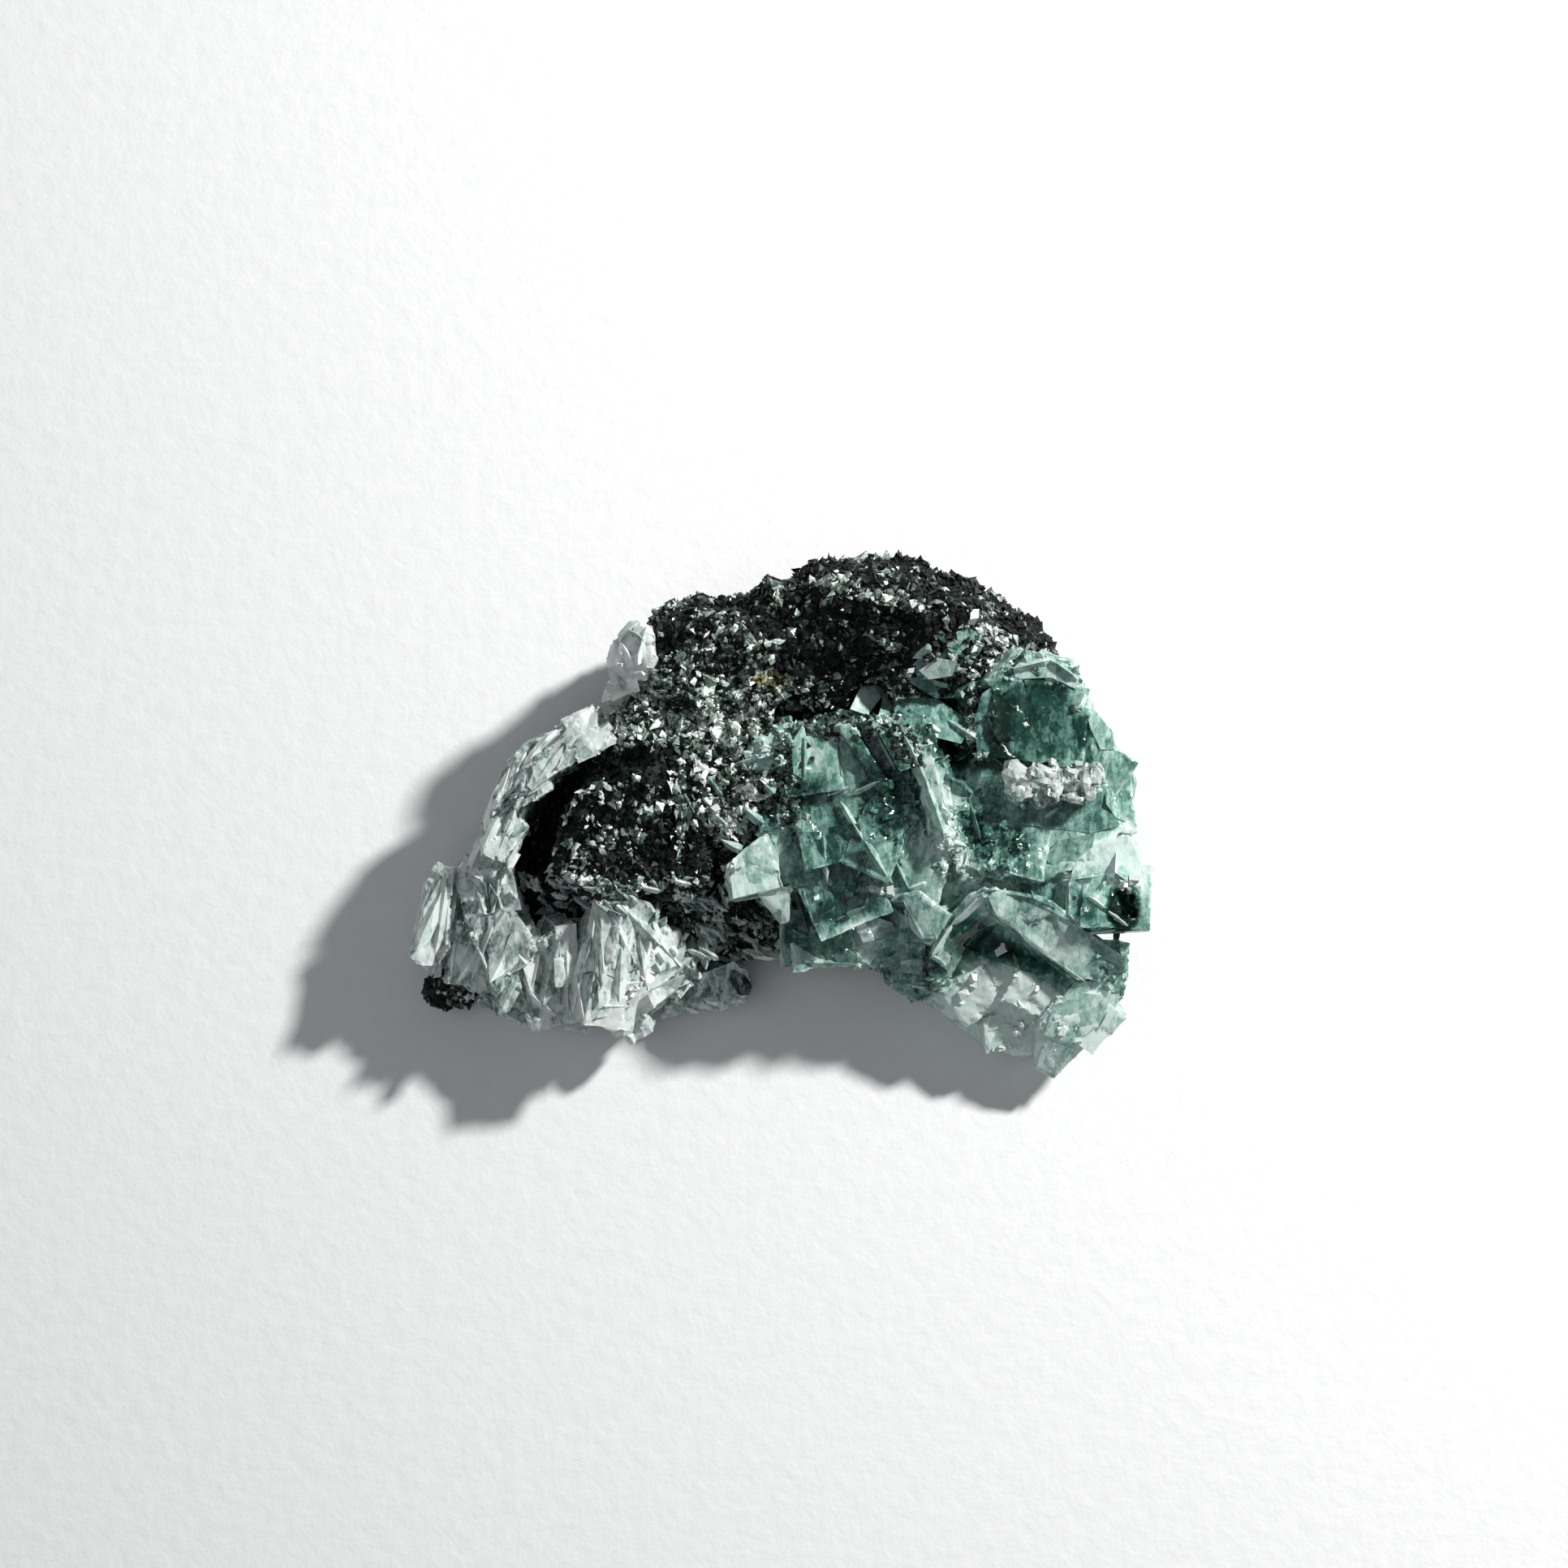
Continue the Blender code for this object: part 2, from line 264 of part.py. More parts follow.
# What is cut out of the rock
PIT_BLOCKS = {
    "crevice": [
        (-16.2, 5.6, 20.0), (-19.4, 2.4, 20.0), (-21.2, -1.6, 20.0), (-21.6, -5.2, 20.0), (-18.4, -5.0, 20.0),
        (-18.0, -1.6, 20.0), (-16.2, 2.4, 20.0), (-16.6, 4.4, 7.4), (-20.4, -1.8, 6.4), (-20.4, -4.8, 7.4),
        (-19.0, -4.6, 7.4), (-17.0, 2.0, 7.4)],
    "hole": [
        (14.8, 12.9, 24.0), (16.8, 12.9, 24.0), (16.8, 11.4, 24.0), (14.8, 11.2, 24.0), (15.2, 12.5, 14.0),
        (16.3, 12.5, 14.0), (16.3, 11.8, 14.0), (15.2, 11.8, 14.0)],
    "front_hollow": [
        (-5.2, -7.4, 20.0), (-1.4, -7.6, 20.0), (-1.0, -11.0, 20.0), (-4.8, -11.0, 20.0), (-4.6, -7.8, 7.6),
        (-2.0, -8.0, 7.0), (-1.6, -10.4, 5.6), (-4.4, -10.4, 5.8)],
    "top_groove": [
        (6.0, 15.2, 26.0), (11.6, 13.4, 26.0), (11.2, 12.6, 26.0), (5.6, 14.2, 26.0), (6.6, 14.6, 18.4),
        (10.6, 13.2, 18.2)],
}

# What is cut out of the green crystals
NOTCH_BLOCKS = {
    "knob_pit": [
        (26.2, -6.0, 18.0), (28.2, -6.0, 18.0), (28.4, -8.6, 18.0), (26.6, -8.8, 18.0), (26.7, -6.5, 9.6),
        (27.8, -6.5, 9.6), (27.9, -8.2, 9.6), (27.0, -8.3, 9.6)],
    "plate_gap": [
        (17.0, -8.5, 11.4), (19.6, -10.6, 10.6), (23.2, -13.0, 9.0), (21.6, -13.2, 8.6), (16.2, -11.6, 9.8),
        (14.0, -10.2, 10.4), (17.4, -8.7, 8.2), (20.0, -11.2, 7.2), (15.4, -10.8, 7.4)],
    "shoulder_hollow": [
        (14.6, 7.2, 22.0), (16.4, 8.0, 22.0), (18.0, 5.4, 22.0), (16.0, 3.4, 22.0), (13.8, 4.4, 22.0),
        (15.4, 6.4, 14.6), (16.4, 5.0, 14.2), (15.0, 4.8, 14.6)],
    "middle_hollow": [
        (9.6, 2.4, 22.0), (11.6, 2.8, 22.0), (11.8, -2.6, 22.0), (10.4, -3.0, 22.0), (10.2, 1.6, 13.8),
        (11.2, 1.8, 13.8), (11.4, -2.0, 13.6)],
}


def clear_scene():
    for old in list(bpy.data.objects):
        bpy.data.objects.remove(old)


def new_collection(name):
    group = bpy.data.collections.new(name)
    bpy.context.scene.collection.children.link(group)
    return group


def new_material(name, colour, roughness, transmission=0.0):
    material = bpy.data.materials.new(name)
    material.use_nodes = True
    shader = material.node_tree.nodes["Principled BSDF"]
    shader.inputs["Base Color"].default_value = (*colour, 1.0)
    shader.inputs["Roughness"].default_value = roughness
    shader.inputs["Metallic"].default_value = 0.0
    shader.inputs["Transmission Weight"].default_value = transmission
    return material


def skin(name, points, group, margin=0.0):
    """The convex block round the points, grown by the margin on every side."""
    corners = []
    for point in points:
        if margin:
            corners += [Vector(point) + margin * Vector(step) for step in product((-1, 1), repeat=3)]
        else:
            corners.append(Vector(point))
    mesh = bpy.data.meshes.new(name)
    block = bmesh.new()
    for corner in corners:
        block.verts.new(corner * MM)
    hull = bmesh.ops.convex_hull(block, input=list(block.verts))
    inside = [item for item in hull["geom_interior"] if isinstance(item, bmesh.types.BMVert)]
    bmesh.ops.delete(block, geom=inside, context="VERTS")
    loose = [corner for corner in block.verts if not corner.link_faces]
    bmesh.ops.delete(block, geom=loose, context="VERTS")
    bmesh.ops.recalc_face_normals(block, faces=list(block.faces))
    block.to_mesh(mesh)
    block.free()
    part = bpy.data.objects.new(name, mesh)
    group.objects.link(part)
    hide(part)
    return part


def cube(name, centre, edges, turns, group, margin=0.0):
    """A crystal cube, turned in degrees about X, Y and Z."""
    mesh = bpy.data.meshes.new(name)
    block = bmesh.new()
    bmesh.ops.create_cube(block, size=1.0)
    bmesh.ops.scale(block, vec=[(edge + 2 * margin) * MM for edge in edges], verts=block.verts)
    block.to_mesh(mesh)
    block.free()
    part = bpy.data.objects.new(name, mesh)
    part.location = Vector(centre) * MM
    part.rotation_euler = [radians(turn) for turn in turns]
    group.objects.link(part)
    hide(part)
    return part


def rim_prisms():
    """The splintery prisms of the left rim, leaning this way and that."""
    prisms = {}
    for number in range(RIM_PRISMS):
        way = number / (RIM_PRISMS - 1)
        stretch = min(int(way * (len(RIM_LINE) - 1)), len(RIM_LINE) - 2)
        share = way * (len(RIM_LINE) - 1) - stretch
        start = Vector(RIM_LINE[stretch])
        end = Vector(RIM_LINE[stretch + 1])
        spot = start.lerp(end, share)
        along = degrees(atan2(end.y - start.y, end.x - start.x))
        top = RIM_TOP_START + way * (RIM_TOP_END - RIM_TOP_START) + 0.5 * sin(2.6 * number)
        turns = (9.0 * sin(2.1 * number), 8.0 * cos(1.7 * number), along + 90.0 + 16.0 * sin(1.3 * number))
        centre = (spot.x, spot.y, top - 0.5 * RIM_PRISM_EDGES[2])
        prisms[f"rim_prism_{number}"] = (centre, RIM_PRISM_EDGES, turns)
    return prisms


def hide(part):
    part.hide_render = True
    part.display_type = "WIRE"


def blocks_in(name, blocks, cubes, margin=0.0):
    """All the blocks and cubes of one crystal mass, in a collection of their own."""
    group = new_collection(name)
    for block_name, points in blocks.items():
        skin(f"{name}_{block_name}", points, group, margin)
    for cube_name, (centre, edges, turns) in cubes.items():
        cube(f"{name}_{cube_name}", centre, edges, turns, group, margin)
    return group


def combine(part, group, operation):
    change = part.modifiers.new(operation.lower(), "BOOLEAN")
    change.operation = operation
    change.solver = "EXACT"
    change.operand_type = "COLLECTION"
    change.collection = group


def settle(part):
    """Puts the result of the part's modifiers into its mesh."""
    view = bpy.context.evaluated_depsgraph_get()
    mesh = bpy.data.meshes.new_from_object(part.evaluated_get(view))
    part.modifiers.clear()
    part.data = mesh


def keep_largest(part):
    """Drops the chips that the cuts have left loose."""
    body = bmesh.new()
    body.from_mesh(part.data)
    waiting = set(body.faces)
    largest = []
    while waiting:
        shell = [waiting.pop()]
        for face in shell:
            for edge in face.edges:
                for neighbour in edge.link_faces:
                    if neighbour in waiting:
                        waiting.discard(neighbour)
                        shell.append(neighbour)
        if len(shell) > len(largest):
            largest = shell
    kept = set(largest)
    bmesh.ops.delete(body, geom=[face for face in body.faces if face not in kept], context="FACES")
    body.to_mesh(part.data)
    body.free()


def crystal_mass(name, blocks, cubes, group, material, notches=None):
    """Blocks and cubes that grew together, joined in one solid."""
    pieces = blocks_in(f"{name}_blocks", blocks, cubes)
    first = pieces.objects[0]
    part = bpy.data.objects.new(name, first.data.copy())
    group.objects.link(part)
    pieces.objects.unlink(first)
    combine(part, pieces, "UNION")
    if notches:
        combine(part, blocks_in(f"{name}_notches", notches, {}), "DIFFERENCE")
    settle(part)
    keep_largest(part)
    part.data.materials.clear()
    part.data.materials.append(material)
    return part


def roughen(part):
    """Turns the joined blocks into one rock surface with lumps and coarse grains."""
    remesh = part.modifiers.new("one_surface", "REMESH")
    remesh.mode = "VOXEL"
    remesh.voxel_size = VOXEL * MM
    for name, kind, size, height in (
            ("lumps", "CLOUDS", LUMP_SIZE, LUMP_HEIGHT), ("grains", "VORONOI", GRAIN_SIZE, GRAIN_HEIGHT)):
        texture = bpy.data.textures.new(name, kind)
        texture.noise_scale = size * MM
        push = part.modifiers.new(name, "DISPLACE")
        push.texture = texture
        push.texture_coords = "GLOBAL"
        push.strength = height * MM
        push.mid_level = 0.5
    thin = part.modifiers.new("facets", "DECIMATE")
    thin.ratio = ROCK_KEEP


def rock_mass(name, group, material):
    """The matrix, with room for the crystals and a flat underside."""
    pieces = blocks_in(f"{name}_blocks", ROCK_BLOCKS, {})
    first = pieces.objects[0]
    part = bpy.data.objects.new(name, first.data.copy())
    group.objects.link(part)
    pieces.objects.unlink(first)
    combine(part, pieces, "UNION")
    settle(part)
    roughen(part)
    settle(part)
    clear_cubes = CLEAR_CUBES | rim_prisms()
    room = blocks_in(f"{name}_green_room", GREEN_BLOCKS, GREEN_CUBES, CLEARANCE)
    for extra in (
            blocks_in(f"{name}_clear_room", CLEAR_BLOCKS, clear_cubes, CLEARANCE),
            blocks_in(f"{name}_knob_room", KNOB_BLOCKS, {}, CLEARANCE),
            blocks_in(f"{name}_pits", PIT_BLOCKS, {})):
        for piece in list(extra.objects):
            room.objects.link(piece)
    below = cube("below", (0.0, 0.0, -0.5 * DEPTH), (2 * LENGTH, 2 * DEPTH, DEPTH), (0, 0, 0), room)
    below.name = f"{name}_below"
    combine(part, room, "DIFFERENCE")
    settle(part)
    keep_largest(part)
    part.data.materials.clear()
    part.data.materials.append(material)
    return part


def build():
    clear_scene()
    specimen = new_collection("fluorite_specimen")
    green = new_material("green_fluorite", (0.30, 0.50, 0.42), 0.15, 0.6)
    clear = new_material("clear_fluorite", (0.78, 0.84, 0.81), 0.12, 0.8)
    knob = new_material("knob_fluorite", (0.74, 0.83, 0.79), 0.12, 0.8)
    rock = new_material("matrix", (0.06, 0.07, 0.065), 0.6)
    crystal_mass("green_fluorite", GREEN_BLOCKS, GREEN_CUBES, specimen, green, NOTCH_BLOCKS)
    crystal_mass("clear_fluorite", CLEAR_BLOCKS, CLEAR_CUBES | rim_prisms(), specimen, clear)
    crystal_mass("knob_fluorite", KNOB_BLOCKS, {}, specimen, knob)
    rock_mass("matrix", specimen, rock)


build()
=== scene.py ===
"""The looks of a fluorite specimen: green and colourless crystals on a dark granular matrix.

Lengths are in millimetres and become metres where a mesh is made. X and Y are as in the model, +Z is up.
"""
from itertools import product
from math import cos, radians, sin

import bmesh
import bpy
import numpy as np
from mathutils import Matrix, Vector
from mathutils.bvhtree import BVHTree


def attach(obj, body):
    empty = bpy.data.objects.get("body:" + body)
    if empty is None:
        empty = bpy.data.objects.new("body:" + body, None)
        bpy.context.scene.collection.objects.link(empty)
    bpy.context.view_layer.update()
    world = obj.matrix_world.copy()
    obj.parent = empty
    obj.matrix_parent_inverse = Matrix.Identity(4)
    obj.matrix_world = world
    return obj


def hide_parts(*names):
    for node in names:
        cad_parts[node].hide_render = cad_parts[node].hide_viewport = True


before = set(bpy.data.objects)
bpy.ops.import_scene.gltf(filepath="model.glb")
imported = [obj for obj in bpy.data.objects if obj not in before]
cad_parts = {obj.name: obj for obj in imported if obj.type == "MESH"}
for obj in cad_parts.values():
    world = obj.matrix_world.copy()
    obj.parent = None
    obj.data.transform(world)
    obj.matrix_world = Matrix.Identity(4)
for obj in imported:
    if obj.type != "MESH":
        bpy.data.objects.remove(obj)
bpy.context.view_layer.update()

MM = 0.001

# The photograph's frame and view
FRAME_WIDTH = 125.6
FRAME_MIDDLE = Vector((0.1, 2.5, 10.0))
VIEW_DISTANCE = 290.0
VIEW_ELEVATION = 86.0

# The key light comes from the upper right of the photograph
KEY_TURN = 36.0
KEY_ELEVATION = 38.0
KEY_DISTANCE = 420.0
KEY_SIZE = 36.0
KEY_POWER = 3.5

# A broad weak light from the other side and the room's own light
FILL_TURN = 200.0
FILL_ELEVATION = 66.0
FILL_DISTANCE = 520.0
FILL_SIZE = 420.0
FILL_POWER = 0.45
ROOM_STRENGTH = 0.2
LIT_HEIGHT = 8.0

# The paper is a little below the underside
PAPER_HALF_METRES = 1.2
PAPER_DROP = 0.05

# Places read off the photograph are in its pixels: millimetres a pixel, and the pixel over the origin
PIXEL = 0.065
ORIGIN_U = 965.0
ORIGIN_V = 1005.0

# Longest edges of the finely cut crystals, and the grid of the rock's surface
GREEN_CUT = 0.45
CLEAR_CUT = 0.34
ROCK_VOXEL = 0.34

# The rock's relief: how far it stands out and how many cells there are to a millimetre
ROCK_SWELL = (0.30, 0.55)
ROCK_STEPS = (0.30, 1.4)
ROCK_DINTS = (0.16, 1.5)

# Points nearer than SAME_POINT are one, and faces that turn less than FLAT_TURN degrees are one face
SAME_POINT = 0.002
FLAT_TURN = 0.8
# Edges that turn more than SHARP_TURN degrees stay sharp. Convex ones above WORN_TURN radians are worn
SHARP_TURN = 11.0
WORN_TURN = 0.4
# Faces are cut finer at most this many times
CUT_ROUNDS = 8

# How unevenly the corners of grains and of splinters are pulled about, as a share of their size
GRAIN_UNEVEN = 0.6
SPLINTER_UNEVEN = 0.8
SPARKLE_UNEVEN = 0.9

# Laid pieces are left out where the surface rises more than this many times their length
STEEPEST = 1.3
# They are raised over what stands between their ends, by at most this much
MOST_BULGE = 1.6
# A height above everything, to look down from
ABOVE_ALL = 60.0

# How far the edges are worn, the faces swell and the broken zones stand out
GREEN_WEAR = {"edges": 0.10, "swell": 0.05, "grain": 0.36}
CLEAR_WEAR = {"edges": 0.04, "swell": 0.08, "grain": 0.04}

# Angular facets that stand out unevenly: size across, along and up, turn in degrees, how far they stand out
GREEN_FACETS = ((2.2, 3.6, 3.0), 28.0, 0.09)
RIM_FACETS = ((1.0, 3.6, 2.4), -34.0, 0.22)
CLEAR_FACETS = ((1.4, 3.4, 3.0), -10.0, 0.19)
KNOB_FACETS = ((1.3, 2.0, 2.2), 20.0, 0.26)

# From front to back, and where the colourless crystals' rim begins
ALL_Y = (-30.0, 30.0)
RIM_FRONT = -4.5

# How pale the crystals are where no zone changes it
GREEN_TONE = 0.0
CLEAR_TONE = 0.25
KNOB_TONE = 1.2

# How many splinters stand out of the crystals
GREEN_CHIPS = 2800
CLEAR_CHIPS = 90

# One zone that holds all the colourless crystals: centre, half widths, turn in degrees, value
EVERYWHERE = [(-20.0, -4.0, 16.0, 16.0, 0, 1.0)]

# Where the faces are broken and sugary, as above
ROUGH_ZONES = [
    (21.2, 2.0, 3.9, 1.3, 4, 0.5), (17.0, -13.6, 4.6, 2.6, -20, 0.12), (20.0, -17.0, 3.4, 2.0, -20, 0.2),
    (15.6, -2.6, 3.4, 3.0, 0, 0.8), (13.2, 6.4, 3.0, 2.2, -20, 0.7), (8.6, 0.2, 2.4, 2.6, 0, 0.6),
    (-1.6, 3.0, 3.0, 4.0, 0, 0.8), (16.9, 11.2, 1.6, 1.6, 40, 0.6), (20.8, 11.0, 2.8, 1.0, -10, 0.9),
    (27.0, -7.0, 1.2, 1.5, 0, 0.5), (26.8, -12.4, 1.4, 1.4, -20, 0.7), (9.4, -13.0, 3.0, 2.0, 0, 0.6),
]

# Where the green crystals look dark (below 0) or pale (above 0): centre, half widths, turn, tone. Most zones
# are the crystals' own mottling. The darkest, such as the pit at (27.0, -7.4), are painted shade, and the
# palest, on the lower slope at (18.2, -15.8), is painted light that shines through the crystal from behind.
GREEN_TONES_LIGHT_AND_SHADE = [
    (15.4, 7.2, 2.0, 2.8, 0, -1.0), (14.6, 4.8, 3.4, 1.2, -20, -1.1), (21.0, 8.0, 3.8, 2.8, 0, -0.7),
    (16.8, -2.4, 3.0, 1.6, -30, -0.7), (7.5, 4.7, 1.5, 1.8, 0, -0.6), (8.8, 1.3, 2.2, 2.8, 0, -0.7),
    (4.9, -3.8, 1.4, 2.6, 0, -0.5), (4.2, -8.1, 2.8, 1.0, 20, -0.9), (15.6, -10.0, 2.8, 1.3, -20, -0.8),
    (20.4, -12.2, 3.6, 0.7, -33, -0.9), (17.6, -12.0, 3.4, 1.2, -20, 0.05), (27.0, -7.4, 1.0, 1.5, 0, -2.6),
    (24.0, -7.6, 0.7, 0.9, 30, -0.8), (26.0, -4.6, 3.2, 2.6, 0, 0.5), (-0.3, 1.3, 2.8, 1.3, 10, -0.8),
    (-2.3, -4.6, 2.4, 2.8, 12, 0.9), (-0.5, -7.2, 1.4, 1.6, 0, 0.8), (11.2, -8.2, 1.8, 2.2, 0, 0.5),
    (19.8, -8.8, 4.8, 1.6, -29, 0.75), (24.6, -11.4, 3.0, 1.6, -20, 0.4), (11.8, 1.2, 1.1, 4.4, 20, 0.8),
    (12.4, -3.4, 2.2, 2.4, 0, 0.4), (12.6, 5.8, 1.6, 2.4, 25, -0.2), (25.2, 6.4, 1.1, 2.2, 30, 0.3),
    (26.8, 0.6, 1.2, 1.8, 0, 0.35), (23.0, -3.2, 3.0, 1.4, 10, 0.45), (20.6, -1.4, 4.0, 1.8, 0, 0.15),
    (4.0, -10.6, 4.4, 1.6, 0, 0.75), (17.0, -4.4, 2.6, 1.6, 0, 0.3), (12.6, -0.6, 2.4, 3.4, 10, 0.25),
    (27.6, -3.8, 1.5, 2.4, 0, 0.8), (18.2, -15.8, 5.0, 3.2, -20, 1.3), (13.6, -12.6, 1.8, 1.6, -20, -0.6),
    (23.0, -17.4, 3.6, 3.4, 30, 0.95), (26.2, -17.0, 2.2, 3.0, 30, 0.5), (16.0, -14.6, 3.6, 1.8, -20, 0.35),
    (6.2, -9.2, 1.0, 1.1, 20, 0.9), (17.0, 11.2, 1.4, 1.4, 0, 0.7), (20.9, 11.1, 2.6, 1.0, -10, 0.8),
    (23.6, 8.6, 0.9, 1.0, 0, 1.0), (-1.0, 4.6, 2.8, 2.0, 0, 0.4), (2.4, 5.0, 2.0, 2.2, 0, 0.25),
    (21.2, 2.0, 3.6, 1.1, 4, 0.4),
]

# Where the colourless crystals look darker or paler, as above
CLEAR_TONES = [
    (-21.6, 2.0, 4.0, 5.0, 0, -0.45), (-23.4, -10.2, 3.0, 3.2, 0, -0.3), (-21.4, -14.6, 2.6, 1.4, 0, -0.4),
    (-13.6, -12.0, 3.4, 4.4, 0, 0.12), (-5.4, -12.6, 3.6, 2.2, 0, -0.5),
]

# Where the matrix has more dark grains (below 0) or more pale ones (above 0). The darkest zones, below -1.4,
# in the crevice left of the dark lump and along its edge, are painted shade.
ROCK_TONES_AND_SHADE = [
    (9.0, 16.6, 12.0, 3.0, -8, -0.85), (6.0, 12.0, 7.0, 3.4, -20, -0.5), (4.6, 17.2, 2.0, 0.6, -20, 1.4),
    (8.4, 16.0, 2.6, 0.6, -10, 1.2), (12.0, 15.4, 2.0, 0.5, 20, 0.6), (16.6, 13.0, 2.6, 1.0, -30, 0.9),
    (-0.6, 18.0, 1.6, 1.6, 0, 0.7), (-8.6, 13.0, 4.4, 4.0, 0, -0.35), (-8.0, 8.0, 6.0, 2.6, 0, 1.0),
    (-4.6, 3.2, 3.0, 3.0, 0, 0.5), (-15.4, 6.2, 2.0, 1.2, 20, 0.7), (-11.6, -1.4, 4.6, 3.6, 0, -0.15),
    (-8.4, -3.2, 2.4, 2.2, 0, -0.8), (-14.2, 3.2, 3.6, 0.9, 20, -1.5), (-18.2, -0.6, 1.6, 5.4, -24, -1.9),
    (-20.2, -6.6, 2.6, 1.2, 0, -1.6), (-3.4, -9.4, 2.2, 2.0, 0, -0.3), (-11.0, -5.6, 3.6, 0.7, 8, 0.9),
    (-5.4, -1.6, 0.8, 2.8, 20, 1.0), (-3.6, -1.0, 1.2, 1.2, 40, 1.5),
]

# Pale veins on the matrix, and the lit ledge along the dark lump: first and last pixel, width in pixels,
# tone. The first five rows, at tone 1.4 and 1.5, are that ledge, made pale as a painted highlight of the
# light it catches.
ROCK_VEINS_AND_PAINTED_LEDGE_LIGHT = [
    (742, 975, 714, 990, 7, 1.4), (714, 990, 704, 1010, 7, 1.4), (704, 1010, 692, 1032, 7, 1.5),
    (692, 1032, 686, 1056, 7, 1.5), (686, 1056, 674, 1084, 7, 1.5), (738, 968, 766, 982, 5, 0.4),
    (700, 1010, 694, 1022, 9, 0.8), (1030, 730, 1052, 742, 9, 0.7), (1062, 752, 1096, 762, 10, 0.5),
    (1096, 762, 1112, 745, 8, 0.55), (1190, 785, 1212, 792, 10, 0.9), (1206, 788, 1236, 812, 9, 1.0),
    (1240, 800, 1262, 812, 8, 0.7), (1300, 770, 1322, 826, 8, 0.35), (948, 722, 958, 760, 12, 0.35),
    (1012, 690, 1072, 692, 7, 0.45), (1130, 832, 1160, 838, 12, 0.8), (1168, 835, 1204, 846, 12, 0.4),
    (1115, 858, 1122, 866, 9, 0.7), (832, 972, 846, 1004, 8, 0.6), (846, 1004, 836, 1052, 10, 0.5),
    (905, 1010, 930, 1052, 12, 1.1), (885, 1012, 902, 1036, 14, 1.2), (925, 968, 942, 996, 12, 1.0),
    (868, 1080, 905, 1096, 8, 0.3), (900, 1152, 932, 1138, 5, 0.5), (730, 1085, 775, 1098, 9, 0.35),
    (690, 1082, 735, 1092, 7, 0.45),
]

# Thin pale ridges of the green crystals, as above
GREEN_RIDGES = [
    (872, 962, 892, 986, 14, 0.5), (900, 978, 926, 966, 12, 0.8), (878, 1004, 906, 1030, 16, 0.9),
    (915, 998, 942, 1020, 14, 0.6), (930, 958, 956, 985, 12, 0.5), (888, 1034, 916, 1052, 12, 0.8),
    (846, 985, 860, 1010, 10, 0.2), (920, 1030, 938, 1012, 9, 1.0), (905, 950, 935, 940, 11, 0.3),
    (1120, 826, 1142, 812, 12, 0.8), (1146, 850, 1180, 862, 10, 0.5), (1160, 812, 1186, 800, 9, 0.9),
    (980, 1100, 998, 1150, 5, 0.5), (998, 1151, 1066, 1119, 6, 0.6), (990, 1098, 1002, 1140, 4, 0.3),
    (1034, 992, 1062, 1040, 8, 0.6), (1062, 1040, 1098, 1092, 11, 0.4), (1022, 986, 1046, 976, 5, 1.0),
    (1046, 986, 1082, 970, 6, 1.0), (1013, 1030, 1019, 1090, 8, 0.5), (1068, 1058, 1054, 1085, 4, 0.6),
    (963, 1118, 964, 1182, 3, 0.6), (1110, 915, 1142, 985, 15, 0.55), (1134, 970, 1160, 1042, 20, 0.55),
    (1070, 898, 1104, 960, 4, 0.8), (1212, 1102, 1170, 1142, 14, 1.0), (1172, 1140, 1148, 1178, 13, 1.1),
    (1150, 1178, 1166, 1192, 9, 0.6), (1098, 1208, 1145, 1216, 6, 1.2), (1220, 1128, 1256, 1155, 4, 0.8),
    (1255, 1155, 1342, 1213, 4, 0.9), (1305, 1087, 1350, 1082, 5, 1.0), (1313, 1090, 1313, 1130, 6, 1.0),
    (1314, 1128, 1336, 1151, 6, 1.0), (1336, 1151, 1372, 1147, 6, 0.9), (1336, 1106, 1360, 1124, 9, 1.1),
    (1360, 1124, 1386, 1143, 8, 1.1), (1310, 1222, 1286, 1258, 6, 1.1), (1368, 1246, 1357, 1268, 6, 1.2),
    (1250, 1172, 1257, 1194, 4, 0.9), (1204, 852, 1246, 812, 11, 0.8), (1242, 836, 1288, 825, 14, 1.0),
    (1286, 826, 1320, 850, 13, 0.6), (1318, 884, 1328, 862, 15, 1.1), (1058, 886, 1096, 888, 9, 0.9),
    (991, 915, 990, 970, 8, 0.4), (1141, 900, 1155, 911, 11, 1.3), (1165, 896, 1200, 920, 10, 0.8),
    (1118, 1098, 1141, 1090, 12, 1.4), (1282, 1012, 1300, 1000, 9, 1.0), (905, 1112, 962, 1101, 4, 1.1),
    (898, 1072, 902, 1108, 5, 1.1), (1085, 1105, 1110, 1096, 7, 0.9), (1100, 1062, 1120, 1100, 6, 0.2),
    (1180, 960, 1205, 1040, 8, 0.1), (1214, 1100, 1240, 1099, 4, 0.8), (1262, 1108, 1300, 1122, 3, 0.5),
    (1205, 930, 1242, 958, 4, 0.1), (1030, 1120, 1010, 1132, 4, 0.3), (1100, 1186, 1135, 1180, 4, 0.4),
    (966, 1186, 1056, 1188, 3, 0.2),
]

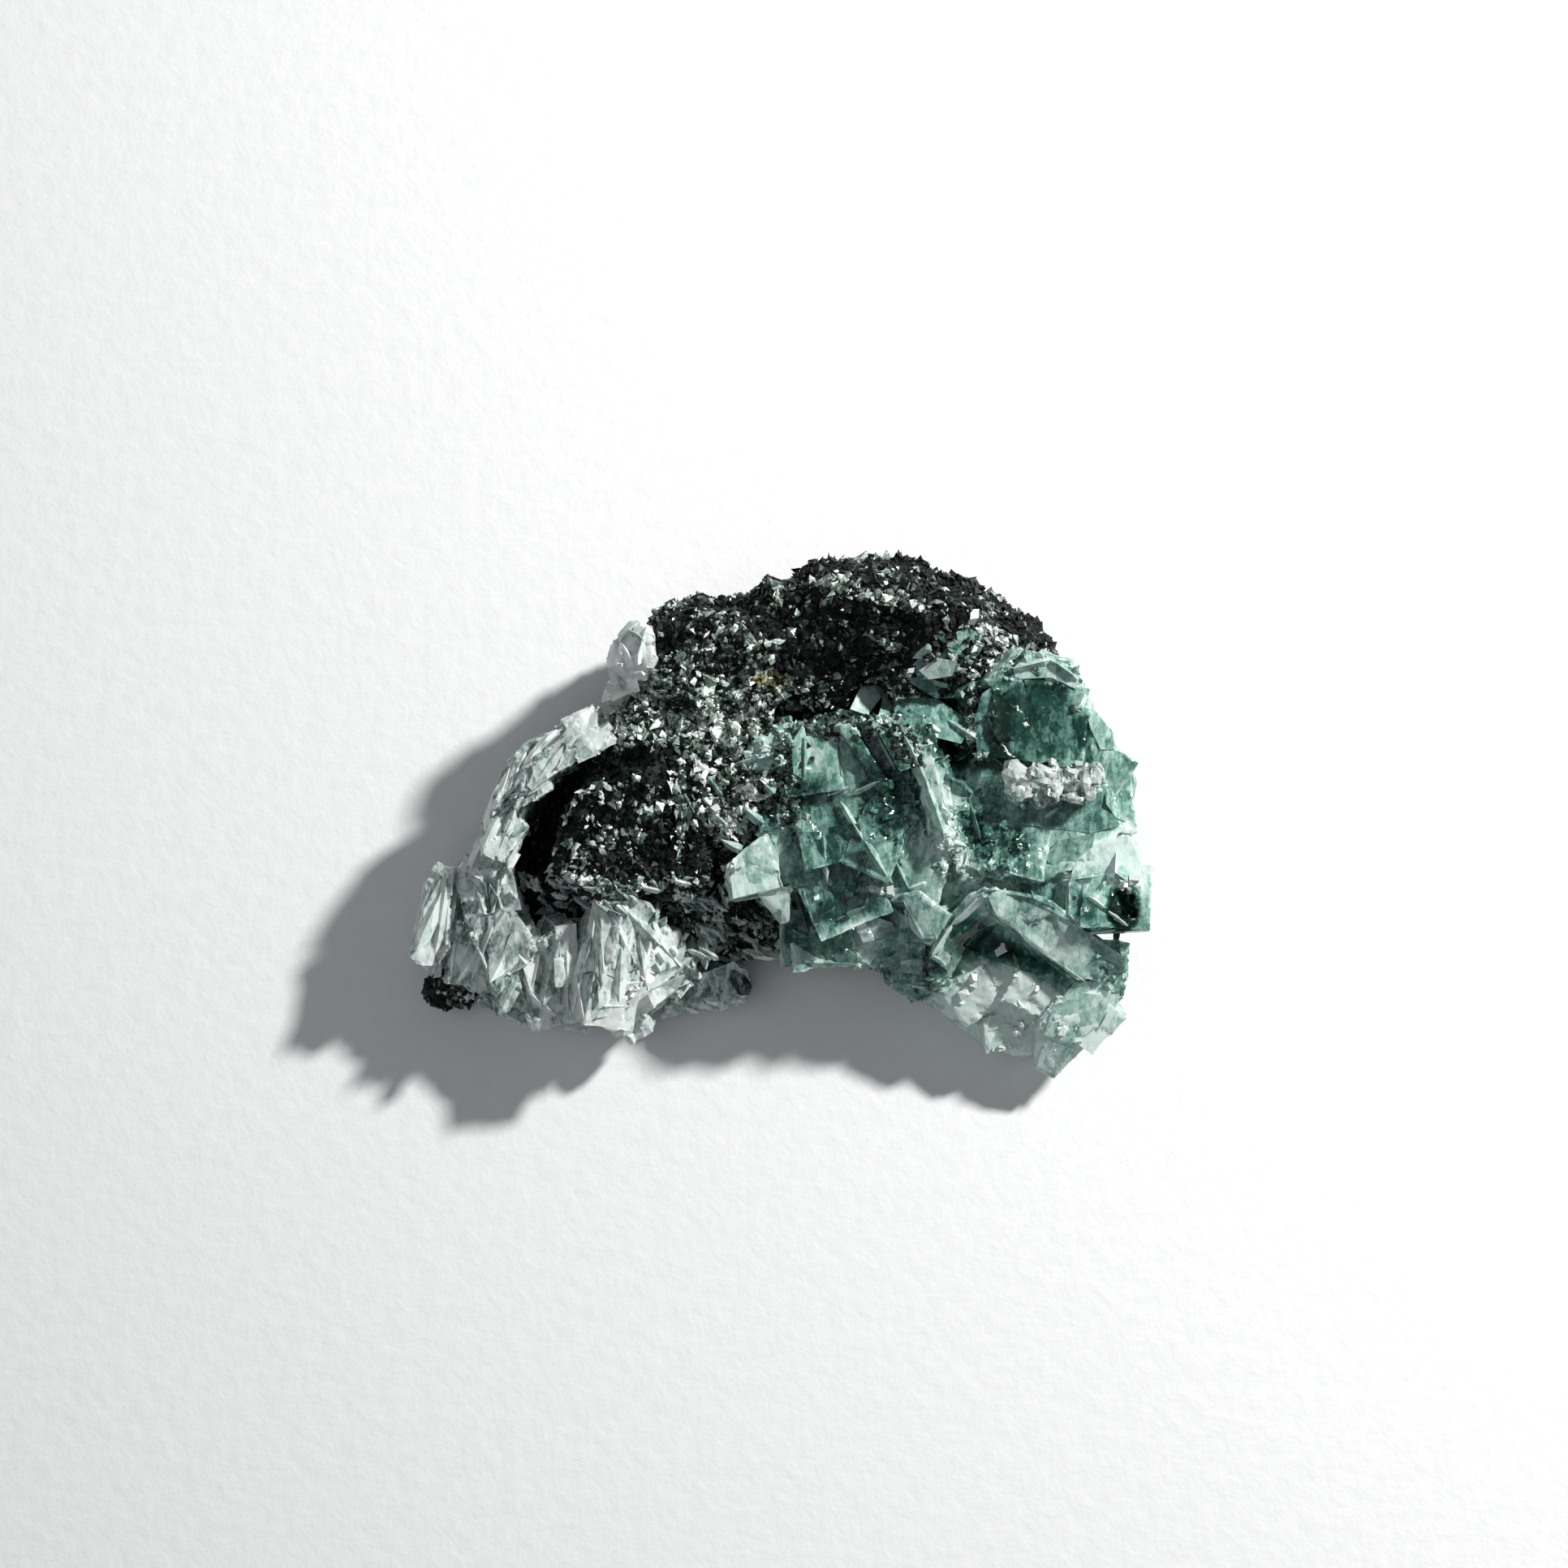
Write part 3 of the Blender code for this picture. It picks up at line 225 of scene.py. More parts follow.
# Flat plates of the green crystals: corners in pixels, and tone
GREEN_PLATES = [
    ([1108, 848, 1134, 818, 1172, 806, 1196, 832, 1192, 868, 1150, 870], -0.15),
    ([1150, 802, 1188, 790, 1212, 802, 1196, 824, 1168, 820], 0.1),
    ([1200, 850, 1238, 806, 1250, 814, 1216, 858], 0.45),
    ([1241, 834, 1290, 822, 1322, 846, 1318, 860, 1288, 846, 1246, 848], 0.75),
    ([1316, 884, 1326, 858, 1339, 880, 1330, 890], 1.0),
    ([975, 925, 990, 900, 998, 935, 990, 968, 978, 960], 0.3),
    ([1098, 862, 1150, 868, 1196, 900, 1180, 925, 1128, 912, 1100, 890], 0.05),
    ([1146, 914, 1170, 925, 1200, 950, 1195, 985, 1164, 965], -0.4),
    ([899, 1068, 918, 1050, 946, 1030, 960, 1058, 962, 1096, 905, 1110], 1.25),
    ([932, 1110, 975, 1102, 977, 1120, 970, 1140, 958, 1128], 0.8),
    ([1050, 1133, 1062, 1129, 1077, 1160, 1064, 1163], 1.2),
    ([1066, 1128, 1100, 1138, 1104, 1150, 1078, 1160], 0.2),
    ([1111, 1112, 1130, 1102, 1150, 1118, 1172, 1128, 1150, 1158, 1136, 1158], 0.4),
    ([1214, 1100, 1262, 1108, 1330, 1145, 1385, 1180, 1386, 1198, 1346, 1214, 1256, 1156, 1222, 1128], 0.5),
    ([1372, 1040, 1386, 1024, 1400, 1040, 1406, 1062, 1412, 1108, 1395, 1096, 1368, 1078], 0.8),
    ([1022, 1024, 1058, 1020, 1062, 1062, 1050, 1108, 1020, 1098], -0.75),
    ([985, 1030, 1010, 1030, 1012, 1092, 985, 1095], 0.0),
    ([1205, 865, 1246, 840, 1300, 854, 1314, 884, 1332, 905, 1342, 950, 1240, 958, 1200, 940, 1195, 900],
      -0.25),
    ([1331, 878, 1345, 884, 1368, 907, 1370, 928, 1350, 930, 1336, 905], 0.05),
    ([1357, 978, 1396, 964, 1397, 985, 1389, 1018, 1370, 1010, 1358, 995], 0.15),
    ([1280, 1060, 1300, 1040, 1345, 1030, 1340, 1060, 1310, 1080], 0.3),
    ([967, 1140, 995, 1154, 1048, 1142, 1058, 1186, 967, 1187], -0.1),
    ([1118, 1160, 1140, 1165, 1142, 1202, 1104, 1196], -0.1),
    ([1300, 1238, 1340, 1224, 1372, 1226, 1360, 1260, 1330, 1288, 1290, 1275], 0.7),
    ([1290, 1280, 1328, 1292, 1305, 1324, 1283, 1314], 0.9),
    ([1158, 1168, 1172, 1178, 1168, 1196, 1152, 1185], 0.5),
    ([1210, 985, 1290, 1000, 1350, 985, 1376, 1020, 1340, 1030, 1250, 1020], 0.0),
]

# Pale crystals that stand on the border between rock and green crystals, as above
PERCHED_PLATES = [
    ([1046, 884, 1058, 858, 1074, 846, 1084, 866, 1068, 890], 1.1),
    ([1076, 848, 1096, 860, 1100, 884, 1080, 893, 1086, 868], 0.7),
    ([1128, 840, 1150, 826, 1174, 830, 1168, 846, 1140, 850], 1.0),
]

# Clusters of bright chips: middle pixel, half widths in millimetres, turn, count. The chips are partly pale
# flecks and partly white painted sparkle where facets catch the light.
SPARKLES = [
    (893, 1024, 1.0, 1.4, 30, 34), (932, 984, 0.8, 1.3, 20, 26), (1205, 790, 1.3, 0.6, -20, 20),
    (1228, 808, 1.2, 0.6, -20, 22), (1148, 905, 0.6, 0.5, 0, 8), (1184, 908, 1.3, 0.8, -30, 22),
    (1272, 968, 1.6, 1.1, 10, 40), (1320, 966, 1.4, 1.1, 0, 38), (1140, 836, 1.2, 0.6, 10, 16),
    (1376, 1092, 0.7, 0.6, 0, 8), (1262, 1268, 1.2, 0.7, 10, 9), (1242, 1291, 0.9, 0.5, 0, 6),
    (782, 1215, 1.4, 0.9, 20, 16), (905, 1075, 0.6, 0.5, 0, 6), (838, 968, 0.9, 0.8, 0, 12),
    (1190, 1212, 1.4, 0.8, 20, 5), (1236, 1166, 0.3, 0.3, 0, 4), (868, 962, 1.0, 0.9, 0, 14),
    (1090, 1100, 0.8, 0.5, 0, 8),
]

# Flat facets of the colourless crystals, as above
CLEAR_PLATES = [
    ([722, 1120, 738, 1112, 742, 1160, 738, 1196, 706, 1202, 708, 1168], 0.15),
    ([742, 1112, 764, 1150, 782, 1196, 760, 1206, 741, 1196, 744, 1150], 0.55),
    ([752, 1108, 800, 1150, 835, 1190, 806, 1200, 786, 1192, 766, 1148], -0.05),
    ([706, 1204, 738, 1198, 740, 1236, 724, 1256, 704, 1256], 0.2),
    ([744, 1200, 762, 1208, 806, 1202, 838, 1196, 790, 1228, 742, 1246], 0.6),
    ([828, 1206, 850, 1202, 826, 1224, 790, 1248, 753, 1272, 742, 1266, 766, 1240], 0.75),
    ([662, 1188, 688, 1158, 694, 1190, 690, 1238, 668, 1224], -0.1),
    ([645, 1190, 662, 1186, 672, 1226, 660, 1244], 0.4),
    ([572, 1140, 600, 1130, 598, 1200, 570, 1206, 560, 1180], 0.0),
    ([604, 1128, 630, 1128, 622, 1176, 604, 1214], 0.35),
    ([632, 1150, 642, 1150, 640, 1186, 612, 1214, 610, 1200], 0.1),
    ([562, 1082, 600, 1084, 606, 1118, 566, 1122], -0.2),
    ([552, 1070, 564, 1074, 548, 1130, 536, 1176, 512, 1178, 524, 1120], 0.35),
    ([606, 1222, 640, 1216, 656, 1236, 648, 1262, 624, 1256], -0.5),
]

# The colourless crystals' long facets: first and last pixel, width in pixels, tone. The brightest, with tone
# 1.2 or more, are white painted highlights where facets catch the light.
CLEAR_SHARDS = [
    (742, 1102, 733, 1165, 16, 0.9), (733, 1150, 706, 1250, 22, 0.3), (738, 1130, 745, 1215, 18, 0.5),
    (748, 1110, 775, 1170, 14, 0.9), (760, 1108, 815, 1165, 18, 0.2), (770, 1150, 765, 1235, 22, 0.7),
    (790, 1150, 800, 1220, 24, 0.4), (805, 1150, 846, 1198, 16, 0.6), (846, 1200, 748, 1270, 20, 0.8),
    (835, 1195, 735, 1255, 16, 0.4), (712, 1200, 722, 1258, 9, 1.2), (765, 1215, 800, 1210, 15, 1.4),
    (745, 1240, 780, 1240, 10, 1.2), (722, 1125, 712, 1185, 14, 0.2), (735, 1104, 760, 1098, 12, 1.3),
    (692, 1160, 668, 1242, 20, 0.2), (700, 1170, 700, 1246, 14, 0.5), (665, 1175, 655, 1215, 12, 0.7),
    (628, 1122, 562, 1210, 18, 0.6), (645, 1128, 606, 1212, 20, 0.4), (590, 1128, 553, 1185, 16, 0.0),
    (610, 1140, 580, 1208, 12, 1.0), (600, 1100, 575, 1135, 12, -0.3), (562, 1066, 514, 1176, 18, 0.4),
    (552, 1080, 535, 1178, 18, 0.6), (531, 1094, 510, 1172, 12, 0.8), (565, 1085, 555, 1150, 12, 0.0),
    (600, 1030, 584, 1073, 16, 0.6), (623, 966, 600, 1028, 16, 0.5), (632, 950, 612, 1010, 12, 0.9),
    (652, 930, 625, 1000, 18, 0.3), (664, 925, 640, 990, 14, 0.7), (690, 903, 655, 945, 16, 0.5),
    (712, 905, 678, 936, 8, 1.2), (700, 925, 655, 985, 14, 0.4), (725, 925, 695, 950, 14, 0.3),
    (742, 905, 712, 925, 18, 0.1), (620, 1010, 598, 1060, 16, 0.2), (640, 1000, 620, 1050, 12, 0.3),
    (592, 1076, 620, 1072, 11, 1.2), (606, 1084, 612, 1100, 10, 1.0), (655, 1125, 715, 1104, 14, 0.0),
    (716, 1130, 680, 1150, 14, 0.0), (640, 1200, 612, 1252, 22, -0.3), (655, 1225, 688, 1252, 16, 0.2),
    (602, 1230, 636, 1258, 16, 0.0), (868, 1178, 842, 1240, 24, -0.3), (842, 1240, 860, 1247, 7, 1.0),
    (864, 1228, 884, 1234, 11, 1.4), (900, 1194, 924, 1226, 20, -1.0), (884, 1142, 894, 1168, 16, 0.3),
    (815, 1165, 832, 1182, 10, 1.0), (700, 1215, 706, 1255, 8, 1.0), (588, 1150, 566, 1190, 10, 0.8),
    (850, 1140, 856, 1190, 14, -0.1), (866, 1136, 870, 1196, 12, -0.5), (878, 1134, 882, 1166, 12, 0.0),
    (892, 1132, 896, 1168, 10, -0.2), (905, 1128, 928, 1150, 10, -0.9), (918, 1122, 940, 1146, 8, -0.7),
    (900, 1160, 940, 1150, 8, -1.0), (940, 1120, 950, 1160, 8, -0.8), (908, 1172, 958, 1180, 9, 0.2),
    (560, 1120, 550, 1165, 14, 0.1), (575, 1085, 600, 1110, 24, -0.1),
]

# Where the matrix's grains cling to the green crystals: first and last pixel, spread, and how thickly
BORDER_LINES = [
    (985, 905, 1060, 898, 9), (1060, 898, 1110, 905, 8), (975, 915, 968, 1010, 9),
    (1112, 905, 1126, 960, 6), (1195, 860, 1200, 940, 6), (955, 960, 975, 1020, 8),
]
GRAINS_A_PIXEL = 1.1

# Rounded glassy lumps in two rows on the right face: first and last pixel, count
BAND_ROWS = [
    (1243, 962, 1350, 956, 8), (1240, 984, 1344, 980, 8), (1250, 974, 1340, 970, 5),
]

# Fields of thin needles in pixels: middle, half widths, direction in degrees down from the right, count
NEEDLE_FIELDS = [
    (800, 1106, 90, 20, 25, 46), (852, 1150, 42, 46, 65, 50), (690, 1100, 36, 18, 25, 18),
    (908, 1150, 46, 30, 35, 26), (628, 1100, 34, 16, 70, 12), (790, 862, 32, 13, 10, 16),
    (640, 1015, 20, 40, 125, 14),
]

# The facets of the crystal on the upper left shoulder, as for the long facets
KNOB_SHARDS = [
    (790, 772, 766, 800, 18, 0.3), (802, 780, 790, 830, 18, 0.5), (768, 800, 786, 832, 20, 1.2),
    (775, 785, 798, 800, 14, 0.2), (762, 838, 775, 850, 14, 0.3),
]

rng = np.random.default_rng(41)


def spot(u, v):
    """The place in millimetres of a pixel of the photograph."""
    return ((u - ORIGIN_U) * PIXEL, (ORIGIN_V - v) * PIXEL)


def between(start, end, share):
    """The place a share of the way from start to end."""
    return start[0] + share * (end[0] - start[0]), start[1] + share * (end[1] - start[1])


def turned(x, y, degrees):
    """The place as seen along axes that are turned by some degrees."""
    c = cos(radians(degrees))
    s = sin(radians(degrees))
    return x * c + y * s, y * c - x * s


def any_turns(count):
    """Random turns about the three axes in radians."""
    return rng.random((count, 3)) * 2.0 * np.pi


# Numbers that stay the same from run to run

def cell_values(points, seed):
    """A value from 0 to 1 for each whole-number cell."""
    cells = np.floor(points).astype(np.int64).astype(np.uint64)
    mixed = cells[:, 0] * np.uint64(73856093)
    mixed = mixed ^ (cells[:, 1] * np.uint64(19349663))
    mixed = mixed ^ (cells[:, 2] * np.uint64(83492791))
    mixed = (mixed + np.uint64(seed * 7919 + 17)) * np.uint64(2654435761)
    mixed = (mixed ^ (mixed >> np.uint64(15))) * np.uint64(2246822519)
    mixed = mixed ^ (mixed >> np.uint64(13))
    return (mixed & np.uint64(0xFFFF)).astype(np.float64) / 0xFFFF


def soft_values(points, seed):
    """Values from -1 to 1 that change softly from cell to cell."""
    low = np.floor(points)
    share = points - low
    share = share * share * (3.0 - 2.0 * share)
    total = np.zeros(len(points))
    for step in product((0, 1), repeat=3):
        weight = np.prod(np.where(np.array(step) == 1, share, 1.0 - share), axis=1)
        total += weight * cell_values(low + np.array(step), seed)
    return 2.0 * total - 1.0


def zone_values(zones, points):
    """The sum of the zones at each point, each fading out towards its edge."""
    total = np.zeros(len(points))
    for cx, cy, half_x, half_y, turn, value in zones:
        along, across = turned(points[:, 0] - cx, points[:, 1] - cy, turn)
        u = along / half_x
        v = across / half_y
        total += value * np.clip((2.2 - u * u - v * v) / 1.4, 0.0, 1.0)
    return total


def set_attribute(mesh, name, values):
    """Gives each point of the mesh a number that its material reads."""
    attribute = mesh.attributes.new(name, "FLOAT", "POINT")
    attribute.data.foreach_set("value", np.asarray(values, dtype=np.float32))


def add_piece(name, mesh, material, replaced=()):
    """Adds a mesh as a named piece that rides on the one body and may replace CAD nodes."""
    mesh.name = name
    piece = bpy.data.objects.new(name, mesh)
    bpy.context.scene.collection.objects.link(piece)
    mesh.materials.clear()
    mesh.materials.append(material)
    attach(piece, "root")
    if replaced:
        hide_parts(*replaced)
    return piece


def points_of(mesh):
    """The mesh's points in millimetres."""
    flat = np.empty(3 * len(mesh.vertices), dtype=np.float64)
    mesh.vertices.foreach_get("co", flat)
    return flat.reshape(-1, 3) / MM


def normals_of(mesh):
    """The mesh's directions outwards, one for each point."""
    flat = np.empty(3 * len(mesh.vertices), dtype=np.float32)
    mesh.vertex_normals.foreach_get("vector", flat)
    return flat.reshape(-1, 3).astype(np.float64)


def move_points(mesh, points):
    """Gives the mesh its new points, with nothing below the floor."""
    points[:, 2] = np.maximum(points[:, 2], 0.0)
    mesh.vertices.foreach_set("co", (points * MM).astype(np.float32).ravel())
    mesh.update()


# Materials

class Nodes:
    """Short calls for building a material's node tree."""

    def __init__(self, name):
        self.material = bpy.data.materials.new(name)
        self.material.use_nodes = True
        self.tree = self.material.node_tree
        self.shader = self.tree.nodes["Principled BSDF"]
        self.output = self.tree.nodes["Material Output"]

    def add(self, kind, inputs=None, **settings):
        node = self.tree.nodes.new("ShaderNode" + kind)
        for key, value in settings.items():
            setattr(node, key, value)
        for key, value in (inputs or {}).items():
            self.feed(node.inputs[key], value)
        return node

    def feed(self, socket, value):
        """Links another node's output to the socket, or sets its value."""
        if isinstance(value, bpy.types.NodeSocket):
            self.tree.links.new(value, socket)
        else:
            socket.default_value = value

    def set(self, **values):
        for key, value in values.items():
            self.feed(self.shader.inputs[key.replace("_", " ")], value)

    def place(self, turn=0.0, stretch=(1.0, 1.0, 1.0)):
        """The place on the specimen, turned about Z and stretched for streaks."""
        position = self.add("NewGeometry").outputs["Position"]
        if turn == 0.0:
            return position
        mapping = {"Vector": position, "Rotation": (0.0, 0.0, radians(turn)), "Scale": stretch}
        return self.add("Mapping", mapping).outputs["Vector"]

    def attribute(self, name):
        return self.add("Attribute", attribute_name=name).outputs["Fac"]

    def noise(self, size_mm, detail=3.0, roughness=0.55, place=None):
        inputs = {"Scale": 1.0 / (size_mm * MM), "Detail": detail, "Roughness": roughness}
        inputs["Vector"] = place or self.place()
        return self.add("TexNoise", inputs).outputs["Fac"]

    def shifted(self, place, size_mm, amount_mm):
        """The place moved about by noise, so that cells get uneven borders."""
        inputs = {"Scale": 1.0 / (size_mm * MM), "Detail": 2.0, "Vector": place}
        drift = self.add("TexNoise", inputs).outputs["Color"]
        inputs = {0: drift, "Scale": amount_mm * MM}
        scaled = self.add("VectorMath", inputs, operation="SCALE").outputs[0]
        return self.add("VectorMath", {0: place, 1: scaled}).outputs[0]

    def cells(self, size_mm, place=None):
        """A value from 0 to 1 for each cell of an angular pattern."""
        inputs = {"Vector": place or self.place(), "Scale": 1.0 / (size_mm * MM)}
        colour = self.add("TexVoronoi", inputs, feature="F1").outputs["Color"]
        return self.add("SeparateColor", {"Color": colour}).outputs["Red"]

    def span(self, value, low, high, to_low, to_high):
        """The value between low and high, carried over to another range."""
        inputs = {"Value": value, "From Min": low, "From Max": high, "To Min": to_low, "To Max": to_high}
        return self.add("MapRange", inputs).outputs["Result"]

    def ramp(self, value, stops):
        node = self.add("ValToRGB", {"Fac": value})
        elements = node.color_ramp.elements
        while len(elements) < len(stops):
            elements.new(0.5)
        for element, (position, colour) in zip(elements, stops):
            element.position = position
            element.color = (*colour, 1.0)
        return node.outputs["Color"]

    def math(self, first, second, operation="ADD"):
        return self.add("Math", {0: first, 1: second}, operation=operation).outputs[0]

    def bump(self, height, depth_mm, normal=None):
        inputs = {"Height": height, "Distance": depth_mm * MM, "Strength": 1.0}
        if normal is not None:
            inputs["Normal"] = normal
        return self.add("Bump", inputs).outputs["Normal"]

    def absorb(self, colour, density):
        node = self.add("VolumeAbsorption", {"Color": (*colour, 1.0), "Density": density})
        self.tree.links.new(node.outputs["Volume"], self.output.inputs["Volume"])


GREEN_RAMP = [
    (0.0, (0.002, 0.018, 0.012)), (0.26, (0.018, 0.076, 0.057)), (0.5, (0.142, 0.306, 0.255)),
    (0.72, (0.40, 0.61, 0.545)), (1.0, (0.82, 0.96, 0.92))]
CLEAR_RAMP = [
    (0.0, (0.010, 0.022, 0.019)), (0.28, (0.22, 0.31, 0.285)), (0.5, (0.60, 0.72, 0.69)),
    (0.75, (0.90, 0.97, 0.95)), (1.0, (0.98, 1.0, 0.99))]
VEIN_AND_LEDGE_LIGHT_RAMP = [
    (0.0, (0.02, 0.03, 0.027)), (0.4, (0.16, 0.21, 0.19)), (0.75, (0.46, 0.55, 0.51)),
    (1.0, (0.97, 1.0, 0.98))]


def crystal_material(name, ramp, mottling, facets, streak_turn, roughness, transmission, bump_depth,
                     absorption):
    """A cloudy crystal: tone from the mesh, clouds and streaks, angular cells that bump the surface and
    whose colour is lightened or darkened as painted glints, and pale sharp edges that are partly wear and
    partly a painted edge highlight.
    """
    look = Nodes(name)
    mottle = look.noise(0.6, 6.0, 0.80)
    streaks = look.noise(1.5, 5.0, 0.68, look.place(streak_turn, (1.0, 0.22, 0.45)))
    cloud = look.noise(4.5, 3.0)
    size_mm, strength = facets
    uneven = look.shifted(look.place(streak_turn, (1.0, 0.45, 0.6)), 0.7, 1.1)
    facet_bumps_and_painted_glints = look.math(look.cells(size_mm, uneven), look.cells(0.45 * size_mm, uneven))
    tone = look.math(look.attribute("tone"), look.span(mottle, 0.32, 0.68, -mottling, mottling))
    # Each angular cell's colour is lightened or darkened: painted glints of facets catching the light.
    tone = look.math(tone, look.span(facet_bumps_and_painted_glints, 0.4, 1.6, -strength, strength))
    tone = look.math(tone, look.span(streaks, 0.34, 0.66, -0.45 * mottling, 0.45 * mottling))
    tone = look.math(tone, look.span(cloud, 0.3, 0.7, -0.2, 0.2))
    # Sharp convex edges are made paler: partly real wear, partly a painted edge highlight where edges catch
    # the light.
    wear = look.math(look.attribute("edge"), look.span(mottle, 0.35, 0.65, 0.1, 0.8), "MULTIPLY")
    tone = look.math(tone, wear)
    colour = look.ramp(look.span(tone, -1.3, 1.3, 0.0, 1.0), ramp)
    fine = look.noise(0.5, 4.0, 0.6)
    normal = look.bump(streaks, bump_depth)
    normal = look.bump(facet_bumps_and_painted_glints, 0.6 * bump_depth, normal)
    normal = look.bump(fine, 0.5 * bump_depth, normal)
    low, high = roughness
    look.set(Base_Color=colour, Roughness=look.span(cloud, 0.3, 0.7, low, high), Normal=normal, IOR=1.434,
             Transmission_Weight=transmission)
    look.absorb(*absorption)
    return look.material


def chip_material(name, low, high, roughness, transmission):
    """Glassy chips, each with its own shade between two colours."""
    look = Nodes(name)
    colour = look.ramp(look.attribute("shade"), [(0.0, low), (1.0, high)])
    fine = look.noise(0.3, 3.0, 0.6)
    look.set(Base_Color=colour, Roughness=look.span(fine, 0.3, 0.7, roughness * 0.5, roughness * 1.5),
             Normal=look.bump(fine, 0.03), IOR=1.45, Transmission_Weight=transmission)
    return look.material


def rock_material():
    """The dark ground between the grains, with pale flecks, and painted shade where its tone is lowest."""
    look = Nodes("matrix_rock")
    grain = look.cells(0.42)
    flecks = look.noise(0.4, 4.0, 0.75)
    tone = look.math(look.attribute("tone"), look.span(flecks, 0.35, 0.65, -1.1, 1.1))
    colour = look.ramp(look.span(tone, -1.4, 2.0, 0.0, 1.0), [
        (0.0, (0.001, 0.002, 0.002)), (0.5, (0.005, 0.007, 0.006)), (0.75, (0.03, 0.04, 0.035)),
        (1.0, (0.30, 0.36, 0.32))])
    normal = look.bump(grain, 0.15)
    normal = look.bump(flecks, 0.12, normal)
    look.set(Base_Color=colour, Roughness=look.span(flecks, 0.3, 0.7, 0.35, 0.7), Normal=normal,
             Specular_IOR_Level=0.15)
    return look.material


def grain_material(name, stops, roughness, transmission=0.0, sheen=0.5):
    """Grains, each with its own shade from the mesh and finer shades within it."""
    look = Nodes(name)
    fine = look.noise(0.22, 3.0, 0.6)
    shade = look.math(look.attribute("shade"), look.span(fine, 0.3, 0.7, -0.25, 0.25))
    look.set(Base_Color=look.ramp(shade, stops), Normal=look.bump(fine, 0.03),
             Roughness=look.span(fine, 0.3, 0.7, roughness * 0.6, roughness * 1.4),
             Transmission_Weight=transmission, IOR=1.5, Specular_IOR_Level=sheen)
    return look.material


def floor_material():
    """Pale paper with fine fibres."""
    look = Nodes("paper_floor")
    fibres = look.noise(1.6, 5.0, 0.6)
    colour = look.ramp(fibres, [(0.0, (0.60, 0.61, 0.62)), (1.0, (0.66, 0.67, 0.67))])
    look.set(Base_Color=colour, Roughness=look.span(fibres, 0.3, 0.7, 0.75, 0.9),
             Normal=look.bump(fibres, 0.08))
    return look.material


# Meshes

def finely_cut(mesh, longest):
    """Keeps every flat face and cuts it into small triangles. Marks the points on convex sharp edges."""
    body = bmesh.new()
    body.from_mesh(mesh)
    bmesh.ops.remove_doubles(body, verts=body.verts, dist=SAME_POINT * MM)
    bmesh.ops.dissolve_limit(body, angle_limit=radians(FLAT_TURN), verts=body.verts, edges=body.edges)
    bmesh.ops.triangulate(body, faces=body.faces)
    for _ in range(CUT_ROUNDS):
        long_edges = [edge for edge in body.edges if edge.calc_length() > longest * MM]
        if not long_edges:
            break
        bmesh.ops.subdivide_edges(body, edges=long_edges, cuts=1)
        bmesh.ops.triangulate(body, faces=[face for face in body.faces if len(face.verts) > 3])
    bmesh.ops.recalc_face_normals(body, faces=body.faces)
    body.verts.index_update()
    sharp = np.zeros(len(body.verts))
    for edge in body.edges:
        if len(edge.link_faces) == 2 and edge.calc_face_angle_signed(0.0) > WORN_TURN:
            for vertex in edge.verts:
                sharp[vertex.index] = 1.0
    cut = bpy.data.meshes.new("cut")
    body.to_mesh(cut)
    body.free()
    return cut, sharp


def facet_heights(points, sizes, turn, seed):
    """How far each point stands out where every angular cell has its own height and slope."""
    along, across = turned(points[:, 0], points[:, 1], turn)
    local = np.column_stack([along, across, points[:, 2]]) / np.array(sizes)
    low = np.floor(local)
    nearest = np.full(len(points), 100.0)
    heights = np.zeros(len(points))
    for step in product((-1, 0, 1), repeat=3):
        cell = low + np.array(step)
        middle = np.stack([cell_values(cell, seed + number) for number in (1, 2, 3)], axis=1)
        slope = np.stack([cell_values(cell, seed + number) for number in (4, 5, 6)], axis=1)
        offset = local - cell - 0.15 - 0.7 * middle
        distance = (offset ** 2).sum(axis=1)
        height = cell_values(cell, seed + 7) - 0.5 + 1.6 * ((slope - 0.5) * offset).sum(axis=1)
        heights = np.where(distance < nearest, height, heights)
        nearest = np.minimum(distance, nearest)
    return heights


def weather(mesh, sharp, zones, edges, swell, grain, facet_push):
    """Wears the sharp edges, lets flat faces swell a little and breaks the rough zones up."""
    points = points_of(mesh)
    rough = np.maximum(zone_values(zones, points), 0.0)
    push = swell * soft_values(points * 0.35, 1) + facet_push
    push += grain * rough * (2.0 * cell_values(points * 1.7, 2) - 1.0)
    push += 0.7 * grain * rough * soft_values(points * 1.1, 3)
    push -= edges * sharp * (0.3 + np.abs(soft_values(points * 1.6, 4)))
    side = np.stack([soft_values(points * 1.3, seed) for seed in (5, 6, 7)], axis=1)
    points += push[:, None] * normals_of(mesh) + 0.45 * grain * rough[:, None] * side
    move_points(mesh, points)


def surface_samples(mesh, count, wanted):
    """Random points and normals on the mesh, thicker where wanted(points, normals) is larger."""
    mesh.calc_loop_triangles()
    corners = np.empty(3 * len(mesh.loop_triangles), dtype=np.int32)
    mesh.loop_triangles.foreach_get("vertices", corners)
    tris = points_of(mesh)[corners.reshape(-1, 3)]
    cross = np.cross(tris[:, 1] - tris[:, 0], tris[:, 2] - tris[:, 0])
    areas = 0.5 * np.linalg.norm(cross, axis=1)
    normals = cross / np.maximum(np.linalg.norm(cross, axis=1)[:, None], 1e-9)
    weights = areas * wanted(tris.mean(axis=1), normals)
    weights = weights / weights.sum()
    chosen = rng.choice(len(tris), size=count, p=weights)
    a = np.sqrt(rng.random(count))
    b = rng.random(count)
    mixed = np.stack([1.0 - a, a * (1.0 - b), a * b], axis=1)
    return np.einsum("nk,nkc->nc", mixed, tris[chosen]), normals[chosen]


